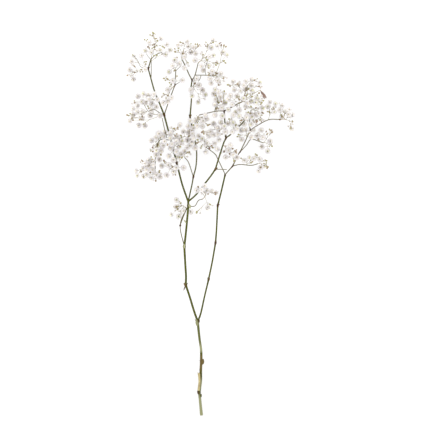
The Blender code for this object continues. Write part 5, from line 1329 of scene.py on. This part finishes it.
def carried_radii(sprigs):
    """Fine radii, a little more for each head that a stalk carries."""
    for sprig in sprigs:
        sprig.fine = [RESTING_TIP if sprig.head.facing else FINE_TIP] * len(sprig.points)
    for index in range(len(sprigs) - 1, -1, -1):
        sprig = sprigs[index]
        for number in range(len(sprig.points) - 2, -1, -1):
            point = sprig.points[number + 1]
            carried = [other.fine[0] for other in sprigs[index + 1:] if other.points[0] is point]
            sprig.fine[number] = min(sprig.fine[number + 1] + FINE_LOAD * len(carried), FINE_MOST)


def anchors(sprigs):
    """Places on the stalks from which a bud can hang, each with the way that the stalk runs there."""
    found = []
    for sprig in sprigs:
        for before, point, after in zip(sprig.points, sprig.points[1:], sprig.points[2:]):
            found.append((point, (after - before).normalized()))
        last, end = sprig.points[-2:]
        if (end - last).length > LONG_TIP:
            found.append((last.lerp(end, PEDICEL_FROM), (end - last).normalized()))
    return found


def add_heads(sprigs, buds, rng, room, heads):
    """Finds room for more buds, and for a few half-open blooms, by a spray's stalks."""
    spots = anchors(sprigs)
    low = np.array(cad_low) / MM + BOX_MARGIN - (SHIFT_X, SHIFT_Y, 0)
    high = np.array(cad_high) / MM - BOX_MARGIN - (SHIFT_X, SHIFT_Y, 0)
    found = []
    for x, y, z, number in buds:
        for _ in range(round(number * BUD_FILL) - (number + BUD_EXCESS) // BUD_SHARE):
            half_open = rng.random() < HALF_OPEN_SHARE
            size = HALF_OPEN_RADIUS if half_open else rng.uniform(*EXTRA_BUD_RADII)
            for attempt in range(EXTRA_ATTEMPTS):
                stray = EXTRA_SPREAD * math.sqrt(number) + attempt * STRAY_GROWTH
                place = Vector((x, y, z)) + random_in_ball(rng) * stray
                reach = np.array(place)
                if (reach - size < low).any() or (reach + size > high).any():
                    continue
                if any((place - head.place).length < head.radius + size + EXTRA_GAP for head in heads):
                    continue
                if room.gap("", place, place, size) < EXTRA_GAP:
                    continue
                most = MOST_PEDICEL if attempt < EXTRA_ATTEMPTS // 2 else FAR_PEDICEL
                near = [
                    ((place - spot).length, index)
                    for index, (spot, way) in enumerate(spots)
                    if LEAST_PEDICEL + size < (place - spot).length < most
                    and (place - spot).normalized().dot(way) > 0
                ]
                if not near:
                    continue
                head = Head("half_open" if half_open else "bud", place, size)
                heads.append(head)
                found.append((*spots[min(near)[1]], head))
                break
    return found


def add_joint(piece, place, way, size, rng):
    """A swollen joint with two small scale leaves."""
    axes = axes_for(way, rng.uniform(0, math.pi))
    run = np.array([
        [*(np.array(place) + axes[2] * JOINT_LENGTH * size * height), JOINT_RADIUS * size * swell]
        for height, swell in JOINT_PROFILE
    ])
    add_tube(piece, run, FINE_SIDES, (JOINT_DARK, rng.random(), 0.5, 1))
    for side in (1, -1):
        turned = axes * np.array([[side], [side], [1]])
        add_scale_leaf(piece, place, turned, SCALE_LEAF * size, rng, SCALE_LEAF_DARK)


def add_scale_leaf(piece, place, axes, length, rng, dark):
    """A small pointed leaf that stands off a joint."""
    points, faces, shares = blade(
        SCALE_LEAF_WIDTH, *SCALE_LEAF_GRID, bent(*SCALE_LEAF_LINE), leaf_width, SCALE_LEAF_THICKNESS,
        cup=SCALE_LEAF_CUP)
    own = rng.random()
    tints = [(dark, own, share, 1) for share in shares]
    piece.add(np.array(place) + length * points @ axes, faces, tints)


def add_stalk(piece, run, rng):
    own = rng.random()
    add_tube(piece, run, FINE_SIDES, [(0, own, share, 1) for share in np.linspace(0, 1, len(run))])


def raised(facing, head, rng):
    """The way that a head faces, turned upwards from the way of its stalk, as blooms turn to the light."""
    if head.facing:
        return facing
    most = math.radians(rng.uniform(*RAISED_BLOOM if head.kind != "bud" else RAISED_BUD))
    upright = Vector((0, 0, 1))
    apart_by = facing.angle(upright, 0)
    share = rng.uniform(*RAISED_SHARE) if apart_by < most else most / apart_by
    return facing.slerp(upright, min(share, MOST_RAISED)).normalized() if apart_by < STRAIGHT_DOWN else facing


def calyx_foot(head, facing):
    """Where the stalk of a head meets its calyx."""
    depth = BUD_FOOT * BUD_STRETCH if head.kind == "bud" else CALYX_FOOT
    return head.place - facing * depth * head.radius


def add_head(stalks, petals, head, facing, shapes, rng):
    axes = axes_for(facing, rng.uniform(0, 2 * math.pi))
    mark = rng.random()
    if head.kind == "bud":
        stretch = axes * np.array([[1], [1], [BUD_STRETCH * rng.uniform(*BUD_STRETCHES)]])
        place_shape(stalks, shapes["bud"], head.place, stretch, head.radius * 2, mark, 1)
        return
    place_shape(stalks, shapes["calyx"], head.place, axes, head.radius, mark, 1)
    kind, gain = "open", FINE_BLOOM
    if head.kind == "half_open":
        kind = "half_open"
    elif head.radius < SMALL_BLOOM * BLOOM_RADIUS:
        kind, gain = "small", FINE_BLOOM + SMALL_GAIN * (1 - head.radius / BLOOM_RADIUS)
    place_shape(petals, rng.choice(shapes[kind]), head.place, axes, head.radius * gain, mark)


def dress_spray(name, sprigs, extra, root, shapes, rng, materials):
    """The stalks, joints, calyxes and buds of a spray as one piece, and its petals as another."""
    carried_radii(sprigs)
    stalks = Piece()
    petals = Piece()
    first = sprigs[0].points[0]
    forks = {}
    for sprig in sprigs:
        facing = raised(facing_of(sprig.head, sprig.points[-2]), sprig.head, rng)
        neck = calyx_foot(sprig.head, facing)
        nod = min(MOST_NOD, NOD_SHARE * (neck - sprig.points[-2]).length)
        points = [*sprig.points[:-1], neck - facing * nod, neck]
        radii = [*sprig.fine, sprig.fine[-1]]
        if sprig.points[0] is first:
            points.insert(0, root)
            radii.insert(0, radii[0] * ROOT_FLARE)
        for before, point, after in zip(points, points[1:], points[2:]):
            forks.setdefault(tuple(point), (point, after - before, radii[1]))
        run = smooth_run([(*point, radius) for point, radius in zip(points, radii)], FINE_STEPS)
        add_stalk(stalks, run, rng)
        add_head(stalks, petals, sprig.head, facing, shapes, rng)
    for point, way, radius in forks.values():
        if (point - first).length > JOINT_FROM_ROOT:
            add_joint(stalks, point, way, JOINT_BASE + radius, rng)
    for spot, way, head in extra:
        facing = raised((head.place - spot).normalized(), head, rng)
        neck = calyx_foot(head, facing)
        middle = spot.lerp(neck, PEDICEL_MIDDLE) + way * (neck - spot).length * PEDICEL_BEND
        run = smooth_run(
            [(*spot, FINE_TIP), (*middle, FINE_TIP * PEDICEL_SLIM), (*neck, FINE_TIP)], FINE_STEPS)
        add_stalk(stalks, run, rng)
        add_joint(stalks, spot, way, JOINT_BASE, rng)
        add_head(stalks, petals, head, facing, shapes, rng)
    stalks.build(name + "_stalks", [materials["stalk"], materials["bud"]], "stem_green", name)
    if petals.count:
        petals.build(name + "_petals", [materials["petal"]], "petal_white", name)


# Main stem, sheath and withered bloom

def refine_near_joints(name):
    """The limb's points, with more of them by its joints so that the swellings are round."""
    rows = LIMBS[name][1]
    swollen = {index for limb, index, _ in KNOTS if limb == name}
    found = []
    for index, row in enumerate(rows):
        here = np.array(row)
        for step in (-1, 0, 1) if index in swollen else (0,):
            if step == 0:
                found.append(here)
            elif 0 <= index + step < len(rows):
                towards = np.array(rows[index + step]) - here
                span = np.linalg.norm(towards[:3])
                if span > 3 * JOINT_STEP:
                    found.append(here + towards * JOINT_STEP / span)
    return found


def joint_looks(name, run):
    """How swollen and how dark a limb is along its run."""
    swollen = np.zeros(len(run))
    dark = np.zeros(len(run))
    for limb, index, _ in KNOTS:
        if limb == name:
            swell, shade = JOINT_LOOKS.get((limb, index), (1.0, 1.0))
            apart_by = np.linalg.norm(run[:, :3] - np.array(LIMBS[name][1][index][:3]), axis=1)
            swollen = np.maximum(swollen, swell * np.exp(-(apart_by / SWELL_WIDTH) ** 2))
            dark = np.maximum(dark, shade * np.exp(-(apart_by / SHADE_WIDTH) ** 2))
    return swollen, dark


def patch_brown(ys):
    """How brown the trunk is at each y, where less than nothing is paler."""
    brown = np.zeros(len(ys))
    for start, end, amount in TRUNK_PATCHES:
        past_start = 1 / (1 + np.exp((start - ys) / PATCH_FADE))
        before_end = 1 / (1 + np.exp((ys - end) / PATCH_FADE))
        brown += amount * past_start * before_end
    return brown


def make_main_stem(materials, rng):
    piece = Piece()
    for name in LIMBS:
        run = smooth_run(refine_near_joints(name), LIMB_STEPS)
        swollen, dark = joint_looks(name, run)
        run[:, 3] *= (1 + SWELL_AMOUNT * swollen) * FINE_LIMBS.get(name, FINE_TWIG)
        thin = np.clip((THIN_RADIUS - run[:, 3]) / THIN_RANGE, 0, 1)
        brown = patch_brown(run[:, 1]) if name == "trunk" else np.zeros(len(run))
        add_tube(piece, run, LIMB_SIDES, np.stack([dark, 0.5 + brown / 2, thin, np.ones(len(run))], axis=1))
    for base, lean, length in bracts():
        add_scale_leaf(piece, base, axes_for(lean, rng.uniform(0, 2 * math.pi)), length, rng, BRACT_DARK)
    points, faces, _ = turned_shape(JOINT_PART_PROFILE, JOINT_PART_RIB_DEPTH)
    for place, way, length, width, dark, brown in JOINT_PARTS:
        axes = axes_for(way, rng.uniform(0, 2 * math.pi)) * np.array([[width], [width], [length]])
        piece.add(np.array(place) + points @ axes, faces, (dark, 0.5 + brown / 2, 0, 1))
    for stalk in BARE_STALKS:
        add_tube(piece, smooth_run(stalk, LIMB_STEPS), FINE_SIDES, (BARE_DARK, 0.5, 1, 1))
    piece.build("main_stem_fine", [materials["limb"]], "stem_green", "main_stem")


def sheath_point(skin, share, across):
    """A point of the sheath's outer or inner skin, by its shares of the height and of the width."""
    first, phase, second = SHEATH_TEAR_WAVES
    torn = math.sin(across * first + phase) * math.cos(across * second)
    tear = 1 - share * SHEATH_TEAR * (0.5 + 0.5 * torn)
    middle, radius = trunk_at(SHEATH_FROM_Y + (SHEATH_TO_Y - SHEATH_FROM_Y) * share * tear)
    reach = radius + SHEATH_GAP + SHEATH_FLARE * share ** SHEATH_FLARE_POWER + SHEATH_SKINS[skin]
    reach += SHEATH_VEIN_DEPTH * math.cos(across * SHEATH_VEINS)
    reach += SHEATH_WAVE * share * math.sin(share * SHEATH_WAVES[0] + across * SHEATH_WAVES[1])
    half = SHEATH_ARC / 2 * (1 - FINE_SHEATH_TAPER * share) * FINE_SHEATH_ARC
    turn = SHEATH_TURN - FINE_SHEATH_TURN + half * across
    return middle + Vector((math.cos(turn), 0, math.sin(turn))) * reach


def make_sheath(materials):
    """A papery clasping leaf base with veins, torn along its top."""
    columns, rows = SHEATH_GRID
    points, tints = [], []
    for skin in (0, 1):
        for row in range(rows):
            share = row / (rows - 1)
            for column in range(columns):
                across = 2 * column / (columns - 1) - 1
                points.append(tuple(sheath_point(skin, share, across)))
                tints.append((share, abs(across), 0.5 + 0.5 * math.cos(across * SHEATH_VEINS), 1))
    faces = []
    count = rows * columns
    for row in range(rows - 1):
        for column in range(columns - 1):
            low = row * columns + column
            quad = (low, low + 1, low + columns + 1, low + columns)
            faces.append(quad)
            faces.append(tuple(count + corner for corner in reversed(quad)))
    rim = [(0, column) for column in range(columns)]
    rim += [(row, columns - 1) for row in range(1, rows)]
    rim += [(rows - 1, column) for column in range(columns - 2, -1, -1)]
    rim += [(row, 0) for row in range(rows - 2, 0, -1)]
    numbers = [row * columns + column for row, column in rim]
    for first, second in zip(numbers, numbers[1:] + numbers[:1]):
        faces.append((second, first, count + first, count + second))
    piece = Piece()
    piece.add(points, faces, tints)
    piece.build("dry_sheath_fine", [materials["sheath"]], "dry_tan", "dry_sheath")


def make_withered(shapes, rng, materials):
    """The withered bloom: its bent stalk and calyx as one piece, and its folded petals as another."""
    root, neck, tip = Vector(WITHERED_ROOT), Vector(WITHERED_NECK), Vector(WITHERED_TIP)
    way = (tip - neck).normalized()
    axes = axes_for(way, WITHERED_TURN)
    size = (tip - neck).length * WITHERED_SIZE
    bend = root.lerp(neck, WITHERED_BEND_AT) + Vector(WITHERED_BEND)
    places = (root, bend, *(neck + way * reach for reach in WITHERED_NECK_ENDS))
    run = smooth_run([(*place, radius) for place, radius in zip(places, WITHERED_STALK)], WITHERED_STEPS)
    stalk = Piece()
    add_tube(stalk, run, WITHERED_SIDES, WITHERED_TINT)
    calyx_place = neck + way * WITHERED_CALYX_AT
    place_shape(stalk, shapes["calyx"], calyx_place, axes, WITHERED_CALYX, WITHERED_CALYX_MARK, 1)
    green = [materials["stalk"], materials["bud"]]
    stalk.build("withered_bloom_stalk", green, "stem_green", "withered_bloom")
    petals = Piece()
    middle = neck + way * size * WITHERED_MIDDLE
    place_shape(petals, bloom_shape(WITHERED_WHORLS, rng), middle, axes, size, 0.5)
    petals.build("withered_bloom_petals", [materials["withered"]], "withered_brown", "withered_bloom")


# Materials

class Nodes:
    """Makes and links the nodes of one material. It reads the mesh's tints, the last one as the whorl."""

    def __init__(self, name, roughness, shine=0.5):
        self.material = bpy.data.materials.new(name)
        self.material.use_nodes = True
        self.tree = self.material.node_tree
        self.shader = self.tree.nodes["Principled BSDF"]
        self.shader.inputs["Roughness"].default_value = roughness
        self.shader.inputs["Specular IOR Level"].default_value = shine
        self.coordinates = self.node("ShaderNodeTexCoord").outputs["Object"]
        tint = self.node("ShaderNodeAttribute", attribute_name="tint")
        self.tints = self.node("ShaderNodeSeparateColor", {"Color": tint.outputs["Color"]}).outputs
        self.whorl = tint.outputs["Alpha"]

    def put(self, socket, value):
        """Links a socket to another one, or gives it a value or a colour."""
        if isinstance(value, bpy.types.NodeSocket):
            self.tree.links.new(value, socket)
        elif socket.type == "RGBA":
            socket.default_value = (*value, 1)
        else:
            socket.default_value = value

    def node(self, kind, values=None, **settings):
        made = self.tree.nodes.new(kind)
        for name, value in settings.items():
            setattr(made, name, value)
        for key, value in (values or {}).items():
            self.put(made.inputs[key], value)
        return made

    def noise(self, scale, detail=3.0, stretch=(1, 1, 1)):
        mapped = self.node("ShaderNodeMapping", {"Vector": self.coordinates, "Scale": stretch}).outputs[0]
        made = self.node("ShaderNodeTexNoise", {"Vector": mapped, "Scale": scale, "Detail": detail})
        return made.outputs["Fac"]

    def span(self, value, low, high, to_low=0.0, to_high=1.0):
        """Maps a value from one range to another."""
        return self.node("ShaderNodeMapRange", {
            "Value": value, "From Min": low, "From Max": high, "To Min": to_low, "To Max": to_high,
        }).outputs[0]

    def times(self, first, second):
        return self.node("ShaderNodeMath", {0: first, 1: second}, operation="MULTIPLY").outputs[0]

    def mix(self, factor, first, second):
        """Mixes two colours."""
        return self.node("ShaderNodeMix", {0: factor, 6: first, 7: second}, data_type="RGBA").outputs[2]

    def finish(self, colour, bump, distance, roughness=None):
        """Links the colour and the bump, and perhaps the roughness, to the shader."""
        self.put(self.shader.inputs["Base Color"], colour)
        if roughness is not None:
            self.put(self.shader.inputs["Roughness"], roughness)
        raised_by = self.node("ShaderNodeBump", {
            "Height": bump, "Distance": distance, "Strength": BUMP_STRENGTH,
        })
        self.put(self.shader.inputs["Normal"], raised_by.outputs[0])
        return self.material


def limb_material():
    """Olive green with fine streaks along it, browner and paler patches, and dark joints."""
    n = Nodes("stem_green", 0.7, 0.08)
    deep_olive, light_olive, moss = (0.047, 0.055, 0.008), (0.082, 0.092, 0.014), (0.1, 0.09, 0.018)
    slim_brown, bark, pale_green = (0.14, 0.11, 0.052), (0.16, 0.1, 0.042), (0.36, 0.36, 0.21)
    joint_brown = (0.068, 0.03, 0.016)
    dark, brown, thin = n.tints[0], n.tints[1], n.tints[2]
    streaks = n.noise(900, 3, (1, 0.12, 1))
    colour = n.mix(n.span(streaks, 0.3, 0.7), deep_olive, light_olive)
    colour = n.mix(n.span(n.noise(70, 2), 0.35, 0.7, 0, 0.5), colour, moss)
    colour = n.mix(n.span(thin, 0.6, 1, 0, 0.7), colour, slim_brown)
    colour = n.mix(n.span(brown, 0.5, 0.9), colour, bark)
    colour = n.mix(n.span(brown, 0.5, 0.25), colour, pale_green)
    colour = n.mix(n.span(dark, 0.15, 0.85, 0, 0.9), colour, joint_brown)
    return n.finish(colour, n.noise(1600, 3, (1, 0.2, 1)), 0.0002, n.span(streaks, 0.3, 0.7, 0.42, 0.6))


def stalk_material():
    """Each stalk has its own shade between straw and tan, paler towards its tip, and darker joints."""
    n = Nodes("stalk_green", 0.7, 0.15)
    straw, tan, pale = (0.29, 0.26, 0.1), (0.38, 0.28, 0.17), (0.45, 0.42, 0.25)
    joint_brown = (0.055, 0.032, 0.022)
    dark, own, along = n.tints[0], n.tints[1], n.tints[2]
    colour = n.mix(own, straw, tan)
    colour = n.mix(n.span(along, 0.2, 1, 0, 0.4), colour, pale)
    colour = n.mix(n.span(dark, 0.3, 0.9), colour, joint_brown)
    return n.finish(colour, n.noise(1500), 0.0001)


def bud_material():
    """Olive, tan or brown buds and calyxes, paler at their tips, with small dark spots."""
    n = Nodes("bud_olive", 0.65, 0.2)
    olive, tan, brown = (0.36, 0.34, 0.14), (0.38, 0.29, 0.18), (0.3, 0.2, 0.16)
    tip, spot = (0.58, 0.54, 0.38), (0.14, 0.1, 0.05)
    along, mark = n.tints[0], n.tints[2]
    colour = n.mix(n.span(mark, 0.3, 0.6), olive, tan)
    colour = n.mix(n.span(mark, 0.8, 0.95), colour, brown)
    colour = n.mix(n.span(along, 0.7, 1.0, 0, 0.8), colour, tip)
    colour = n.mix(n.span(n.noise(1100), 0.4, 0.75, 0, 0.5), colour, spot)
    return n.finish(colour, n.noise(2200), 0.0001)


def petal_material():
    """White petals, faintly pink at the bloom's rim, with cream feet and a warm heart, greenish in a few.
    From the rim inwards the whorls are painted lighter, a painted fill against the shade that falls between
    the petals.
    """
    n = Nodes("petal_white", 0.65)
    n.shader.inputs["Subsurface Weight"].default_value = 0.85
    n.shader.inputs["Subsurface Scale"].default_value = 0.0025
    n.shader.inputs["Subsurface Radius"].default_value = (1.0, 0.85, 0.75)
    n.shader.inputs["Sheen Weight"].default_value = 0.15
    # The rim colours are painted darker, and the middle and heart colours lighter, than the petals' own
    # white. This is painted light that evens out the shade falling deep between the petals. The pink and
    # cream tints are the petals' own colour.
    light_rim, dark_rim, warm_rim = (0.81, 0.76, 0.78), (0.75, 0.695, 0.715), (0.77, 0.71, 0.7)
    middle, cream, green = (0.9, 0.86, 0.84), (0.98, 0.93, 0.75), (0.82, 0.83, 0.25)
    foot, blush = (0.97, 0.93, 0.74), (0.78, 0.72, 0.74)
    along, own, mark = n.tints[0], n.tints[1], n.tints[2]
    rim = n.mix(own, light_rim, dark_rim)
    rim = n.mix(n.span(mark, 0.6, 1, 0, 0.5), rim, warm_rim)
    # Painted lighter towards the inner whorls, against the shade that falls between the petals
    colour = n.mix(n.span(n.whorl, 0.1, 0.45), rim, middle)
    heart = n.mix(n.span(mark, 0.28, 0.14), cream, green)
    colour = n.mix(n.span(n.whorl, 0.45, 0.85), colour, heart)
    colour = n.mix(n.span(along, 0.0, 0.4), foot, colour)
    colour = n.mix(n.span(n.noise(700), 0.5, 0.8, 0, 0.3), colour, blush)
    return n.finish(colour, n.noise(2600, 2), 0.00008)


def sheath_material():
    """Dry tan with fibres along it and brown blotches."""
    n = Nodes("dry_tan", 0.8)
    dark_tan, light_tan, blotch = (0.3, 0.24, 0.1), (0.56, 0.48, 0.24), (0.2, 0.13, 0.07)
    fibres = n.noise(1500, 3, (1, 0.06, 1))
    colour = n.mix(n.span(fibres, 0.3, 0.7), dark_tan, light_tan)
    colour = n.mix(n.times(n.span(n.noise(220), 0.45, 0.7), 0.7), colour, blotch)
    return n.finish(colour, fibres, 0.0003)


def withered_material():
    """Brown petals, lighter towards their tips, with dark blotches."""
    n = Nodes("withered_brown", 0.85, 0.2)
    foot, tip, blotch = (0.12, 0.065, 0.045), (0.42, 0.31, 0.26), (0.18, 0.1, 0.07)
    colour = n.mix(n.tints[0], foot, tip)
    colour = n.mix(n.span(n.noise(500), 0.4, 0.7, 0, 0.7), colour, blotch)
    return n.finish(colour, n.noise(1400), 0.0002)


def ground_material():
    """Plain pale ground with a faint glow."""
    n = Nodes("ground_white", 0.9)
    n.shader.inputs["Emission Color"].default_value = (1, 1, 1, 1)
    n.shader.inputs["Emission Strength"].default_value = GROUND_GLOW
    colour = n.mix(n.span(n.noise(40), 0.3, 0.7), (0.34, 0.34, 0.34), (0.35, 0.35, 0.35))
    return n.finish(colour, n.noise(300), 0.00002)


# Ground, light and camera

def make_floor():
    mesh = bpy.data.meshes.new("ground")
    half = FLOOR_SIZE / 2
    corners = [(-half, -half, 0), (half, -half, 0), (half, half, 0), (-half, half, 0)]
    mesh.from_pydata(corners, [], [(0, 1, 2, 3)])
    mesh.materials.append(ground_material())
    floor = bpy.data.objects.new("ground", mesh)
    bpy.context.scene.collection.objects.link(floor)


def make_light():
    light = bpy.data.lights.new("key_light", "AREA")
    light.shape = "DISK"
    light.size = KEY_SIZE
    light.energy = KEY_POWER
    lamp = bpy.data.objects.new("key_light", light)
    lamp.location = KEY_PLACE
    towards = Vector((*PICTURE_MIDDLE, 0)) - Vector(KEY_PLACE)
    lamp.rotation_euler = towards.to_track_quat("-Z", "Y").to_euler()
    bpy.context.scene.collection.objects.link(lamp)


def make_camera():
    """Looks straight down on the stem, from far enough for the photo's flat view."""
    camera = bpy.data.cameras.new("camera")
    camera.sensor_width = SENSOR_WIDTH
    camera.lens = SENSOR_WIDTH * (CAMERA_HEIGHT - SPRAY_HEIGHT) / PICTURE_WIDTH
    camera.clip_end = FAR_CLIP
    seen_from = bpy.data.objects.new("camera", camera)
    seen_from.location = (*PICTURE_MIDDLE, CAMERA_HEIGHT)
    bpy.context.scene.collection.objects.link(seen_from)
    bpy.context.scene.camera = seen_from


def make_studio():
    world = bpy.data.worlds.new("studio")
    world.use_nodes = True
    background = world.node_tree.nodes["Background"]
    background.inputs["Color"].default_value = (1, 1, 1, 1)
    background.inputs["Strength"].default_value = WORLD_STRENGTH
    bpy.context.scene.world = world
    bpy.context.scene.view_settings.view_transform = "Standard"
    make_floor()
    make_light()
    make_camera()


def main():
    materials = {
        "limb": limb_material(),
        "stalk": stalk_material(),
        "bud": bud_material(),
        "petal": petal_material(),
        "sheath": sheath_material(),
        "withered": withered_material(),
    }
    shapes = make_shapes()
    rng = random.Random(EXTRA_SEED)
    grown, room, heads = grow_all()
    make_main_stem(materials, rng)
    make_sheath(materials)
    make_withered(shapes, rng, materials)
    for name, (root, _, buds) in SPRAYS.items():
        extra = add_heads(grown[name], buds, rng, room, heads)
        dress_spray(name, grown[name], extra, Vector(root), shapes, rng, materials)
    make_studio()


main()
bpy.context.view_layer.update()
